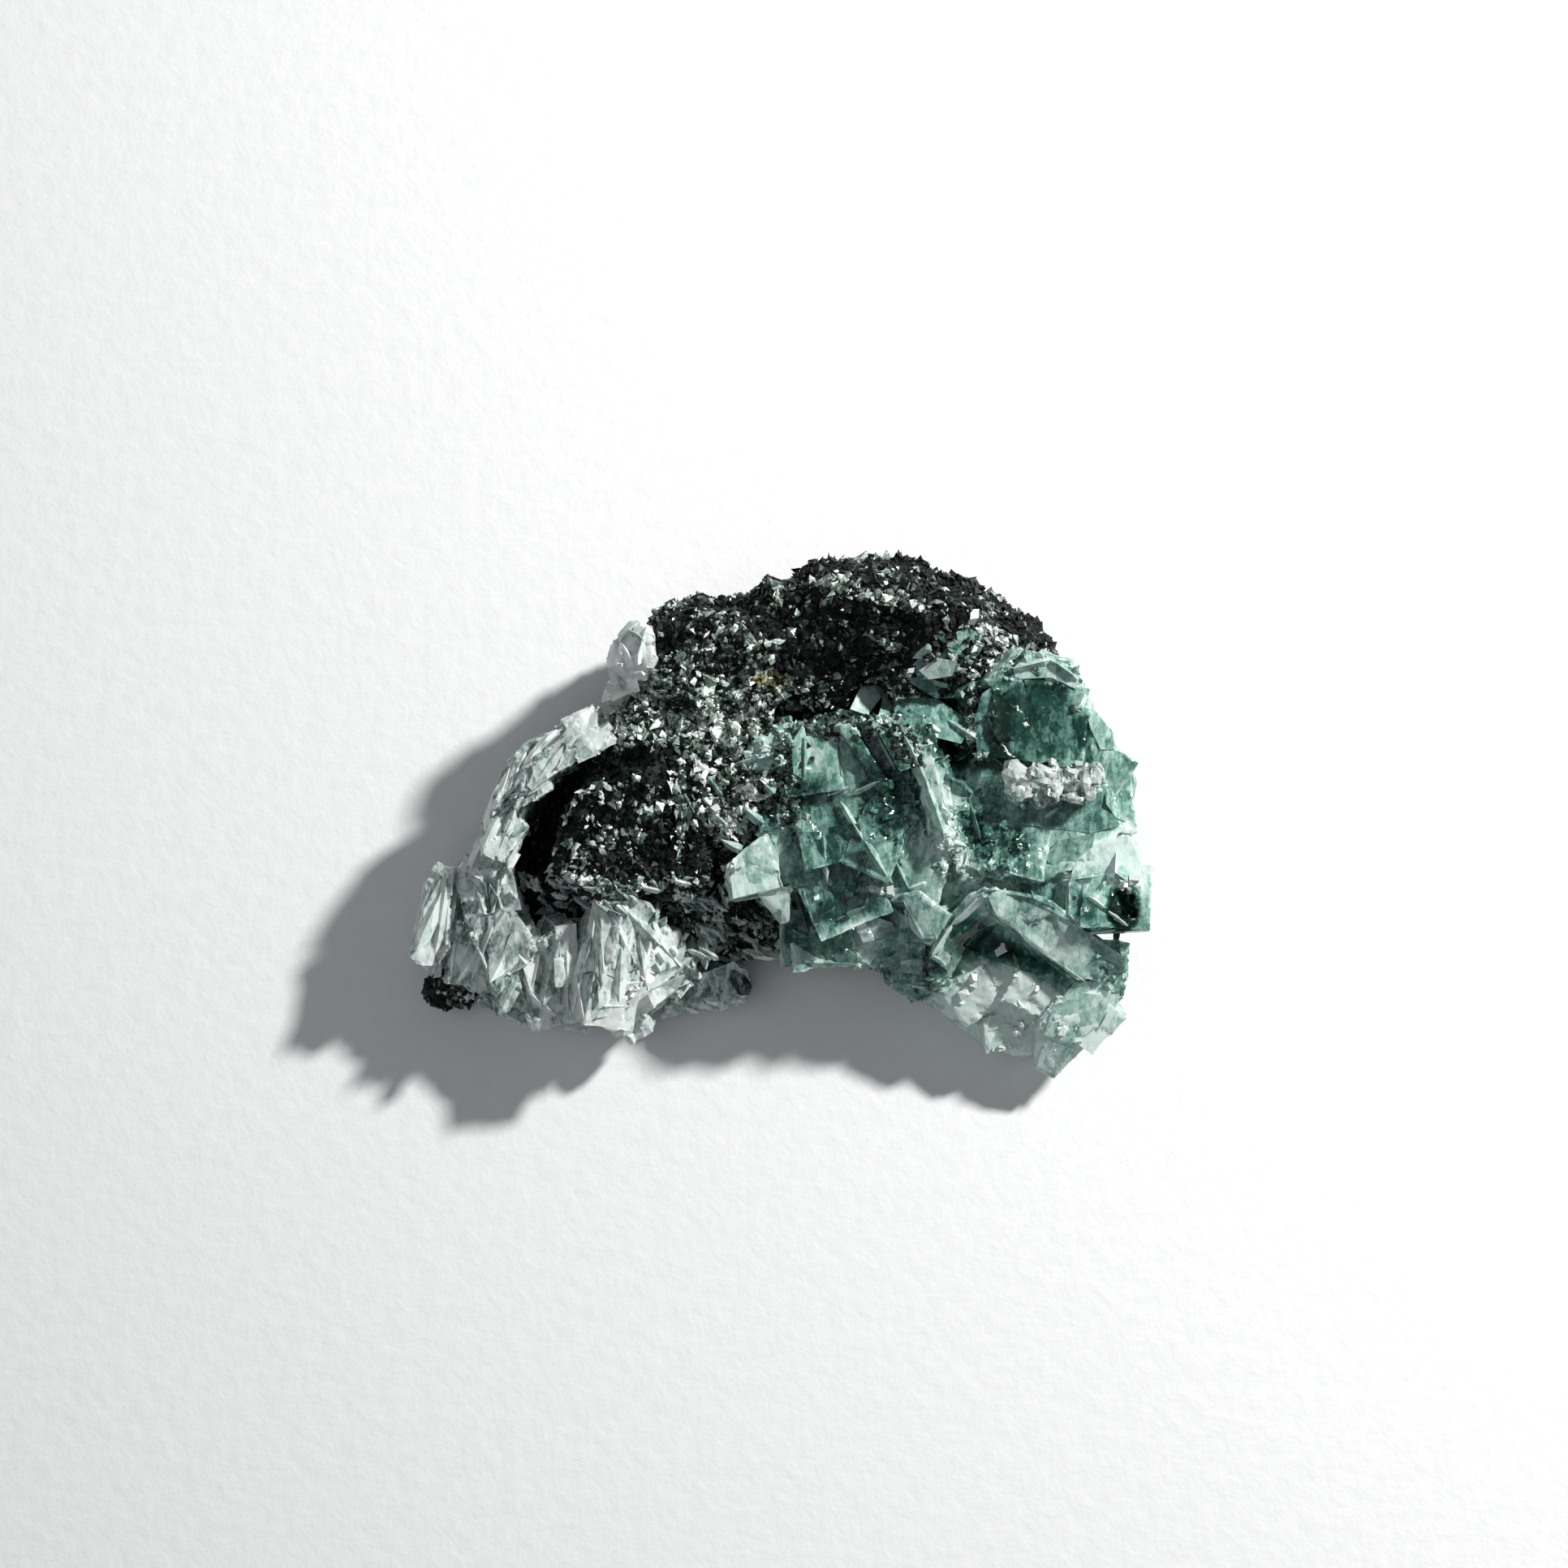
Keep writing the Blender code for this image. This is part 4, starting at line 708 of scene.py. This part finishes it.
# The corners and faces of a splinter and of a grain, and the faces of a ridge
SPLINTER = (
    np.array(list(product((-0.5, 0.5), repeat=3))),
    np.array([[0, 1, 3, 2], [4, 6, 7, 5], [0, 4, 5, 1], [2, 3, 7, 6], [0, 2, 6, 4], [1, 5, 7, 3]]))
GRAIN = (
    0.62 * np.array([[1, 0, 0], [-1, 0, 0], [0, 1, 0], [0, -1, 0], [0, 0, 1], [0, 0, -1]]),
    np.array([[0, 2, 4], [2, 1, 4], [1, 3, 4], [3, 0, 4], [2, 0, 5], [1, 2, 5], [3, 1, 5], [0, 3, 5]]))
RIDGE_FACES = [
    (0, 4, 1), (1, 4, 5, 2), (2, 5, 3), (0, 1, 6), (1, 2, 7, 6), (2, 3, 7), (0, 8, 4), (4, 8, 5), (5, 8, 3),
    (0, 6, 8), (6, 7, 8), (7, 3, 8)]


def turn_matrices(angles):
    """Rotation matrices for rows of angles about X, Y and Z in radians."""
    cx, cy, cz = np.cos(angles).T
    sx, sy, sz = np.sin(angles).T
    rows = [
        [cy * cz, sx * sy * cz - cx * sz, cx * sy * cz + sx * sz],
        [cy * sz, sx * sy * sz + cx * cz, cx * sy * sz - sx * cz],
        [-sy, sx * cy, cx * cy]]
    return np.moveaxis(np.array(rows), 2, 0)


def many_solids(shape, centres, sizes, angles, shades, uneven):
    """One mesh of many small solids of one shape, each with its own size, turn and shade."""
    corners, faces = shape
    count = len(centres)
    points = corners[None] * sizes[:, None, :]
    points = points * (1.0 + uneven * (rng.random((count, len(corners), 3)) - 0.5))
    points = np.einsum("nij,nkj->nki", turn_matrices(angles), points) + np.asarray(centres)[:, None, :]
    points[:, :, 2] = np.maximum(points[:, :, 2], 0.0)
    all_faces = faces[None] + len(corners) * np.arange(count)[:, None, None]
    mesh = bpy.data.meshes.new("solids")
    mesh.from_pydata((points.reshape(-1, 3) * MM).tolist(), [],
                     all_faces.reshape(-1, faces.shape[1]).tolist())
    set_attribute(mesh, "shade", np.repeat(shades, len(corners)))
    mesh.update()
    return mesh


def top_finder(pieces):
    """A function that gives the height of the pieces' top surface at a place, or None beside them."""
    trees = []
    for piece in pieces:
        mesh = piece.data
        mesh.calc_loop_triangles()
        triangles = [tuple(item.vertices) for item in mesh.loop_triangles]
        trees.append(BVHTree.FromPolygons([Vector(point) for point in points_of(mesh)], triangles))

    def top(x, y):
        heights = []
        for tree in trees:
            hit = tree.ray_cast(Vector((x, y, ABOVE_ALL)), Vector((0.0, 0.0, -1.0)))
            if hit[0] is not None:
                heights.append(hit[0].z)
        return max(heights) if heights else None
    return top


def resting(places, top, lift):
    """The places that have a surface, a little above it."""
    heights = [top(x, y) for x, y in places]
    return [(x, y, height + lift) for (x, y), height in zip(places, heights) if height is not None]


def laid_line(start, end, top, lift):
    """The ends of a line that follows the surface from start to end, a little above it."""
    heights = [top(*start), top(*end)]
    known = [height for height in heights if height is not None]
    if not known:
        return None
    heights = [known[0] if height is None else height for height in heights]
    length = np.hypot(end[0] - start[0], end[1] - start[1])
    if abs(heights[1] - heights[0]) > STEEPEST * length:
        return None
    bulge = 0.0
    for share in (0.25, 0.5, 0.75):
        height = top(*between(start, end, share))
        if height is not None:
            bulge = max(bulge, height - heights[0] - share * (heights[1] - heights[0]))
    bulge = min(bulge, MOST_BULGE)
    return [Vector((*place, height + 0.8 * bulge + lift)) for place, height in zip((start, end), heights)]


class Solids:
    """Gathers closed solids into one mesh, each with its own tone and nothing of it below the floor."""

    def __init__(self):
        self.points = []
        self.faces = []
        self.tones = []

    def add(self, points, faces, tone):
        first = len(self.points)
        self.points += [(x, y, max(z, 0.0)) for x, y, z in points]
        self.faces += [[first + corner for corner in face] for face in faces]
        self.tones += [tone] * len(points)

    def mesh(self):
        mesh = bpy.data.meshes.new("solids")
        mesh.from_pydata((np.array(self.points) * MM).tolist(), [], self.faces)
        body = bmesh.new()
        body.from_mesh(mesh)
        bmesh.ops.recalc_face_normals(body, faces=body.faces)
        body.to_mesh(mesh)
        body.free()
        set_attribute(mesh, "tone", self.tones)
        set_attribute(mesh, "edge", np.zeros(len(self.points)))
        mesh.update()
        return mesh


def ridges(lines, top, rise, sink, lift=0.0):
    """One mesh of long roof-shaped slivers that lie on the surface."""
    solids = Solids()
    for u1, v1, u2, v2, width, tone in lines:
        ends = laid_line(spot(u1, v1), spot(u2, v2), top, lift)
        if ends is None:
            continue
        a, b = ends
        along = (b - a).normalized()
        across = along.cross(Vector((0.0, 0.0, 1.0))).normalized()
        up = along.cross(across)
        if up.z < 0:
            up = -up
        half = 0.5 * width * PIXEL
        height = rise * half
        near = a.lerp(b, 0.22)
        far = a.lerp(b, 0.8)
        lean = 0.35 * half * (2.0 * rng.random() - 1.0)
        solids.add([
            a + up * (0.3 * height), near + up * height + across * lean, far + up * height + across * lean,
            b + up * (0.2 * height), near + across * half - up * sink, far + across * half - up * sink,
            near - across * half - up * sink, far - across * half - up * sink,
            a.lerp(b, 0.5) - up * (2.0 * sink)], RIDGE_FACES, tone)
    return solids.mesh()


def plates(outlines, top, lift, thickness):
    """One mesh of flat plates, each laid along the surface below it."""
    solids = Solids()
    for pixels, tone in outlines:
        outline = [spot(u, v) for u, v in zip(pixels[::2], pixels[1::2])]
        known = [(x, y, top(x, y)) for x, y in outline]
        known = np.array([place for place in known if place[2] is not None])
        flat = np.column_stack([known[:, :2], np.ones(len(known))])
        slope = np.linalg.lstsq(flat, known[:, 2], rcond=None)[0]
        corners = [(x, y, slope[0] * x + slope[1] * y + slope[2] + step)
                   for step in (lift, lift - thickness) for x, y in outline]
        count = len(outline)
        sides = [[number, count + number, count + (number + 1) % count, (number + 1) % count]
                 for number in range(count)]
        solids.add(corners, [range(count), range(2 * count - 1, count - 1, -1), *sides], tone)
    return solids.mesh()


def needle_lines(fields):
    """Short lines scattered over fields, for thin needles that grew side by side."""
    lines = []
    for u, v, half_u, half_v, direction, count in fields:
        for _ in range(count):
            angle = radians(direction + 22.0 * rng.standard_normal())
            reach = 6.0 + 9.0 * rng.random()
            along = np.array((cos(angle), sin(angle))) * reach
            middle = np.array((u, v)) + np.array((half_u, half_v)) * (2.0 * rng.random(2) - 1.0)
            width = 5.0 + 6.0 * rng.random()
            lines.append((*(middle - along), *(middle + along), width, 1.4 * rng.random() - 0.7))
    return lines


def grain_rows(lines, top, length):
    """One mesh of pale grains that lie one after another along lines on the rock."""
    centres = []
    turns = []
    shades = []
    for u1, v1, u2, v2, width, tone in lines:
        a = np.array(spot(u1, v1))
        b = np.array(spot(u2, v2))
        reach = np.hypot(*(b - a))
        rows = max(width / 4.0, 1.0)
        for _ in range(int(1.7 * rows * reach / length) + 1):
            side = (b - a)[::-1] * (-1.0, 1.0) / reach
            x, y = a + rng.random() * (b - a) + side * (rng.random() - 0.5) * width * PIXEL
            height = top(x, y)
            if height is not None:
                centres.append((x, y, height + 0.12 + 0.2 * tone))
                turns.append(np.arctan2(*(b - a)[::-1]) + 0.35 * rng.standard_normal())
                # A high tone makes the grains paler; on the ledge rows this is a painted highlight.
                shades.append(np.clip(0.22 + 0.36 * tone + 0.24 * rng.standard_normal(), 0.0, 1.0))
    count = len(centres)
    sizes = length * (0.5 + 0.9 * rng.random((count, 3))) * (1.0, 0.45, 0.45)
    angles = np.column_stack([0.5 * rng.standard_normal((count, 2)), turns])
    return many_solids(GRAIN, centres, sizes, angles, shades, GRAIN_UNEVEN)


def lumps(rows, top, radius):
    """One mesh of rounded uneven lumps that sit half sunk along rows on the surface."""
    ball = bmesh.new()
    bmesh.ops.create_icosphere(ball, subdivisions=2, radius=1.0)
    corners = np.array([tuple(vertex.co) for vertex in ball.verts])
    triangles = [[vertex.index for vertex in face.verts] for face in ball.faces]
    ball.free()
    solids = Solids()
    for u1, v1, u2, v2, count in rows:
        for number in range(count):
            u, v = between((u1, v1), (u2, v2), (number + 0.6 * rng.random()) / count)
            u += 3.0 * rng.standard_normal()
            v += 4.0 * rng.standard_normal()
            x, y = spot(u, v)
            sizes = radius * (0.6 + 0.8 * rng.random(3))
            uneven = 1.0 + 0.36 * soft_values(corners * 1.9 + 9.0 * len(solids.faces), 51)
            lump = corners * uneven[:, None] * sizes + (x, y, top(x, y) + 0.15 * radius)
            solids.add(lump, triangles, 1.6 * rng.random() - 0.25)
    return solids.mesh()


# Pieces

def add_rock():
    """The dark rock, with its surface broken into small lumps."""
    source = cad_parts["matrix"].data.copy()
    piece = add_piece("matrix_rock", source, rock_material(), ["matrix"])
    remesh = piece.modifiers.new("one_surface", "REMESH")
    remesh.mode = "VOXEL"
    remesh.voxel_size = ROCK_VOXEL * MM
    view = bpy.context.evaluated_depsgraph_get()
    mesh = bpy.data.meshes.new_from_object(piece.evaluated_get(view))
    piece.modifiers.clear()
    piece.data = mesh
    points = points_of(mesh)
    push = ROCK_SWELL[0] * soft_values(points * ROCK_SWELL[1], 11)
    push += ROCK_STEPS[0] * cell_values(points * ROCK_STEPS[1], 12) - 0.2
    push += ROCK_DINTS[0] * soft_values(points * ROCK_DINTS[1], 13)
    points += (push * (points[:, 2] > 0.5))[:, None] * normals_of(mesh)
    move_points(mesh, points)
    # The rock's tone follows the zones, so painted shade darkens the crevice.
    set_attribute(mesh, "tone", zone_values(ROCK_TONES_AND_SHADE, points))
    return piece


# The matrix's grains: name, count, size, how they gather, how far they stand out, roughness, clearness,
# sheen, colours
GRAIN_KINDS = [
    ("matrix_dark_grains", 14000, 0.50, -0.2, 0.6, 0.45, 0.0, 0.16, [
        (0.0, (0.001, 0.002, 0.002)), (0.7, (0.004, 0.006, 0.006)), (1.0, (0.03, 0.045, 0.04))]),
    ("matrix_pale_grains", 11500, 0.50, 1.0, 0.9, 0.30, 0.2, 0.5, [
        (0.0, (0.008, 0.014, 0.012)), (0.25, (0.055, 0.088, 0.075)), (0.5, (0.16, 0.20, 0.16)),
        (0.75, (0.36, 0.48, 0.43)), (1.0, (0.95, 1.0, 0.97))]),
    # Near-white glassy grains: partly clear mineral grains, partly painted glints.
    ("matrix_clear_grains_and_painted_glints", 700, 0.30, 0.4, 1.2, 0.06, 0.0, 0.5, [
        (0.0, (0.7, 0.76, 0.75)), (1.0, (0.98, 0.99, 0.99))]),
]
OLIVE_PLACES = [
    (934, 846), (942, 842), (952, 841), (962, 846), (968, 854), (938, 856), (948, 852), (958, 860),
]


def add_placed_grains(name, centres, size, smallest, spread, stops):
    """Grains of the matrix at given places, each with its own size, turn and shade."""
    count = len(centres)
    sizes = size * (smallest + spread * rng.random((count, 3)))
    mesh = many_solids(GRAIN, centres, sizes, any_turns(count), rng.random(count), GRAIN_UNEVEN)
    add_piece(name, mesh, grain_material(name, stops, 0.3, 0.1))


def add_grains(rock):
    """The grains of the matrix: dark, pale, and near-white glassy ones that are partly painted glints, and a
    few olive ones.
    """
    for name, count, size, pull, lift, roughness, clearness, sheen, stops in GRAIN_KINDS:
        def wanted(points, normals):
            # Fewer pale grains gather in the painted-shade zones of the crevice.
            tone = zone_values(ROCK_TONES_AND_SHADE, points) - 0.25
            tone += 1.1 * soft_values(points * 0.5, 21) + 1.0 * soft_values(points * 1.25, 22)
            upward = 0.45 + 0.55 * np.clip(normals[:, 2] + 0.3, 0.0, 1.0)
            outside = (points[:, 2] > 0.3) & (normals[:, 2] > -0.6)
            return upward * outside * np.clip(1.0 + pull * tone, 0.02, 3.0)

        places, normals = surface_samples(rock.data, count, wanted)
        sizes = size * (0.5 + 1.0 * rng.random((count, 1)) ** 2) * (0.4 + 1.2 * rng.random((count, 3)))
        centres = places + normals * (size * 0.16 * lift)
        turns = any_turns(count)
        # The grain shades follow the zones too, so the crevice's grains carry painted shade.
        shades = np.clip(rng.random(count) ** 1.1 + 0.16 * zone_values(ROCK_TONES_AND_SHADE, places), 0.0, 1.0)
        mesh = many_solids(GRAIN, centres, sizes, turns, shades, GRAIN_UNEVEN)
        add_piece(name, mesh, grain_material(name, stops, roughness, clearness, sheen))

    middles = resting([spot(*pixel) for pixel in OLIVE_PLACES], top_finder([rock]), 0.15)
    centres = [(x + dx, y + dy, z) for x, y, z in middles
               for dx, dy in ((0.0, 0.0), (0.3, 0.15), (-0.2, 0.3))]
    add_placed_grains("olive_grains", centres, 0.6, 0.6, 0.8, [
        (0.0, (0.04, 0.04, 0.015)), (0.6, (0.14, 0.14, 0.06)), (1.0, (0.36, 0.36, 0.20))])


def add_border_grains(green):
    """Dark and pale grains of the matrix that cling to the crystals where the two meet."""
    places = []
    for u1, v1, u2, v2, spread in BORDER_LINES:
        for _ in range(int(GRAINS_A_PIXEL * (abs(u2 - u1) + abs(v2 - v1)))):
            u, v = between((u1, v1), (u2, v2), rng.random())
            u += spread * rng.standard_normal()
            v += spread * rng.standard_normal()
            places.append(spot(u, v))
    centres = resting(places, top_finder([green]), 0.1)
    add_placed_grains("border_grains", centres, 0.5, 0.5, 0.9, [
        (0.0, (0.002, 0.004, 0.003)), (0.5, (0.02, 0.04, 0.033)), (1.0, (0.38, 0.52, 0.46))])


def add_crystal(name, node, cut, facets, zones, tones, base_tone, material, wear):
    """A crystal mass on its solid's faces, with facets, worn edges and broken zones."""
    mesh, sharp = finely_cut(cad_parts[node].data, cut)
    points = points_of(mesh)
    push = np.zeros(len(points))
    for lowest_y, highest_y, (sizes, turn, amount) in facets:
        inside = (points[:, 1] >= lowest_y) & (points[:, 1] < highest_y)
        push += np.where(inside, 2.0 * amount * facet_heights(points, sizes, turn, 31), 0.0)
    weather(mesh, sharp, zones, facet_push=push, **wear)
    mesh.shade_smooth()
    mesh.set_sharp_from_angle(angle=radians(SHARP_TURN))
    # For the green crystals this tone holds painted shade in the darkest pits and painted light on the lower
    # slope.
    set_attribute(mesh, "tone", base_tone + zone_values(tones, points_of(mesh)))
    set_attribute(mesh, "edge", sharp)
    return add_piece(name, mesh, material, [node])


def add_chips(name, piece, count, material, sizes, turn, spread, zones, tones, floor_weight):
    """Broken splinters that stand a little out of a crystal mass, with tones like the surface there."""
    def wanted(points, normals):
        rough = np.clip(zone_values(zones, points), 0.0, 1.0)
        weight = floor_weight + (1.0 - floor_weight) * rough
        return np.where((normals[:, 2] > -0.2) & (points[:, 2] > 2.0), weight, 0.0)

    places, normals = surface_samples(piece.data, count, wanted)
    scale = 0.5 + 1.1 * rng.random((count, 1)) ** 2
    edges = np.array(sizes)[None] * scale * (0.6 + 0.8 * rng.random((count, 3)))
    angles = np.radians(np.array(turn)[None] + np.array(spread)[None] * rng.standard_normal((count, 3)))
    mesh = many_solids(SPLINTER, places - 0.10 * normals, edges, angles, rng.random(count),
                       SPLINTER_UNEVEN)
    own_tones = rng.random(count) - 0.45
    # The chips take the zones' tone, with its painted shade and light.
    set_attribute(mesh, "tone", np.repeat(own_tones, 8) + zone_values(tones, points_of(mesh)))
    set_attribute(mesh, "edge", np.zeros(8 * count))
    return add_piece(name, mesh, material)


def add_sparkles(top, material):
    """Small clusters of bright glassy chips: pale flecks and white painted sparkle."""
    places = []
    for u, v, half_x, half_y, turn, count in SPARKLES:
        x, y = spot(u, v)
        for across, along in rng.standard_normal((count, 2)) * 0.55:
            dx, dy = turned(across * half_x, along * half_y, -turn)
            places.append((x + dx, y + dy))
    centres = resting(places, top, 0.1)
    count = len(centres)
    sizes = 0.34 * (0.5 + rng.random((count, 1))) * (0.4 + 1.4 * rng.random((count, 3)))
    mesh = many_solids(SPLINTER, centres, sizes, any_turns(count), rng.random(count) ** 0.8, SPARKLE_UNEVEN)
    add_piece("pale_flecks_and_painted_sparkles", mesh, material)


def add_floor():
    mesh = bpy.data.meshes.new("paper")
    sheet = bmesh.new()
    bmesh.ops.create_grid(sheet, x_segments=1, y_segments=1, size=PAPER_HALF_METRES)
    sheet.to_mesh(mesh)
    sheet.free()
    paper = bpy.data.objects.new("paper", mesh)
    paper.location = (0.0, 0.0, -PAPER_DROP * MM)
    mesh.materials.append(floor_material())
    bpy.context.scene.collection.objects.link(paper)


def aim(item, place, target, up):
    """Puts a camera or light at a place and turns it to the target."""
    back = (place - target).normalized()
    right = up.cross(back).normalized()
    turn = Matrix((right, back.cross(right), back)).transposed()
    item.matrix_world = Matrix.Translation(place * MM) @ turn.to_4x4()


def add_light(name, turn, elevation, distance, size, power, colour):
    data = bpy.data.lights.new(name, "AREA")
    data.shape = "DISK"
    data.size = size * MM
    data.energy = power
    data.color = colour
    light = bpy.data.objects.new(name, data)
    bpy.context.scene.collection.objects.link(light)
    flat = cos(radians(elevation))
    direction = Vector((flat * cos(radians(turn)), flat * sin(radians(turn)), sin(radians(elevation))))
    aim(light, direction * distance, Vector((0.0, 0.0, LIT_HEIGHT)), Vector((0.0, 0.0, 1.0)))


def add_lights():
    add_light("key", KEY_TURN, KEY_ELEVATION, KEY_DISTANCE, KEY_SIZE, KEY_POWER, (1.0, 0.985, 0.96))
    add_light("fill", FILL_TURN, FILL_ELEVATION, FILL_DISTANCE, FILL_SIZE, FILL_POWER, (0.96, 0.98, 1.0))
    world = bpy.data.worlds.new("soft_room")
    world.use_nodes = True
    world.node_tree.nodes["Background"].inputs["Color"].default_value = (0.92, 0.95, 1.0, 1.0)
    world.node_tree.nodes["Background"].inputs["Strength"].default_value = ROOM_STRENGTH
    bpy.context.scene.world = world


def add_camera():
    data = bpy.data.cameras.new("camera")
    data.sensor_fit = "HORIZONTAL"
    data.sensor_width = 36.0
    data.lens = 36.0 * VIEW_DISTANCE / FRAME_WIDTH
    data.clip_start = 0.01
    data.clip_end = 5.0
    camera = bpy.data.objects.new("camera", data)
    bpy.context.scene.collection.objects.link(camera)
    tilt = radians(VIEW_ELEVATION)
    place = FRAME_MIDDLE + VIEW_DISTANCE * Vector((0.0, -cos(tilt), sin(tilt)))
    aim(camera, place, FRAME_MIDDLE, Vector((0.0, 1.0, 0.0)))
    bpy.context.scene.camera = camera


add_camera()
add_lights()
add_floor()

# The second number of facets is how strongly the angular cells' colour is lightened or darkened as painted
# glints.
green_look = crystal_material(
    "green_crystal", GREEN_RAMP, mottling=0.46, facets=(0.9, 0.36), streak_turn=28.0, roughness=(0.05, 0.28),
    transmission=0.45, bump_depth=0.08, absorption=((0.60, 0.84, 0.75), 60.0))
clear_look = crystal_material(
    "clear_crystal", CLEAR_RAMP, mottling=0.42, facets=(0.9, 0.55), streak_turn=24.0, roughness=(0.02, 0.16),
    transmission=0.45, bump_depth=0.05, absorption=((0.86, 0.94, 0.91), 22.0))
band_look = crystal_material(
    "band_crystal", CLEAR_RAMP, mottling=0.80, facets=(0.6, 0.80), streak_turn=10.0, roughness=(0.02, 0.10),
    transmission=0.6, bump_depth=0.08, absorption=((0.90, 0.94, 0.96), 22.0))
vein_and_ledge_light_look = grain_material("rock_vein_and_painted_ledge_light", VEIN_AND_LEDGE_LIGHT_RAMP, roughness=0.2, transmission=0.2)
# Chips from mid green to white: pale flecks and painted sparkle.
fleck_and_painted_sparkle_look = chip_material(
    "pale_fleck_and_painted_sparkle", (0.30, 0.40, 0.37), (1.0, 1.0, 1.0), roughness=0.10, transmission=0.3)

rock = add_rock()
add_grains(rock)
# The veins, with the ledge's painted highlight.
add_piece("rock_veins_and_painted_ledge_light", grain_rows(ROCK_VEINS_AND_PAINTED_LEDGE_LIGHT, top_finder([rock]), length=0.85), vein_and_ledge_light_look)

green = add_crystal(
    "green_crystals", "green_fluorite", GREEN_CUT, [(*ALL_Y, GREEN_FACETS)], ROUGH_ZONES, GREEN_TONES_LIGHT_AND_SHADE,
    GREEN_TONE, green_look, GREEN_WEAR)
green_top = top_finder([green, rock])
plate_mesh = plates(GREEN_PLATES, green_top, lift=0.22, thickness=0.5)
plate_piece = add_piece("green_plates", plate_mesh, green_look)
perched_mesh = plates(PERCHED_PLATES, green_top, lift=1.1, thickness=1.6)
add_piece("perched_crystals", perched_mesh, green_look)
ridge_mesh = ridges(GREEN_RIDGES, top_finder([green, rock, plate_piece]), rise=1.0, sink=0.35, lift=0.05)
add_piece("green_ridges", ridge_mesh, green_look)
add_piece("band_lumps", lumps(BAND_ROWS, green_top, radius=0.78), band_look)
add_border_grains(green)

clear = add_crystal(
    "clear_crystals", "clear_fluorite", CLEAR_CUT,
    [(ALL_Y[0], RIM_FRONT, CLEAR_FACETS), (RIM_FRONT, ALL_Y[1], RIM_FACETS)],
    EVERYWHERE, CLEAR_TONES, CLEAR_TONE, clear_look, CLEAR_WEAR)
facet_mesh = plates(CLEAR_PLATES, top_finder([clear, rock]), lift=0.16, thickness=0.6)
facet_piece = add_piece("clear_plates", facet_mesh, clear_look)
shard_mesh = ridges(CLEAR_SHARDS, top_finder([clear, rock, facet_piece]), rise=0.40, sink=0.45)
shard_piece = add_piece("clear_shards", shard_mesh, clear_look)
needle_top = top_finder([clear, rock, facet_piece, shard_piece])
needle_mesh = ridges(needle_lines(NEEDLE_FIELDS), needle_top, rise=0.9, sink=0.3, lift=0.28)
add_piece("clear_needles", needle_mesh, clear_look)
knob = add_crystal(
    "knob_crystal", "knob_fluorite", CLEAR_CUT, [(*ALL_Y, KNOB_FACETS)], EVERYWHERE, [], KNOB_TONE,
    clear_look, CLEAR_WEAR)
knob_mesh = ridges(KNOB_SHARDS, top_finder([knob]), rise=0.8, sink=0.5)
add_piece("knob_shards", knob_mesh, clear_look)

add_chips(
    "green_chips", green, GREEN_CHIPS, green_look, sizes=(0.62, 0.24, 0.24), turn=(0, 0, 30),
    spread=(22, 22, 50), zones=ROUGH_ZONES, tones=GREEN_TONES_LIGHT_AND_SHADE, floor_weight=0.02)
add_chips(
    "clear_chips", clear, CLEAR_CHIPS, clear_look, sizes=(0.3, 1.1, 0.3), turn=(24, 6, -24),
    spread=(16, 14, 14), zones=EVERYWHERE, tones=[], floor_weight=1.0)
add_sparkles(top_finder([green, clear, rock]), fleck_and_painted_sparkle_look)

scene = bpy.context.scene
scene.view_settings.view_transform = "Standard"
scene.cycles.transmission_bounces = 12
scene.cycles.max_bounces = 14
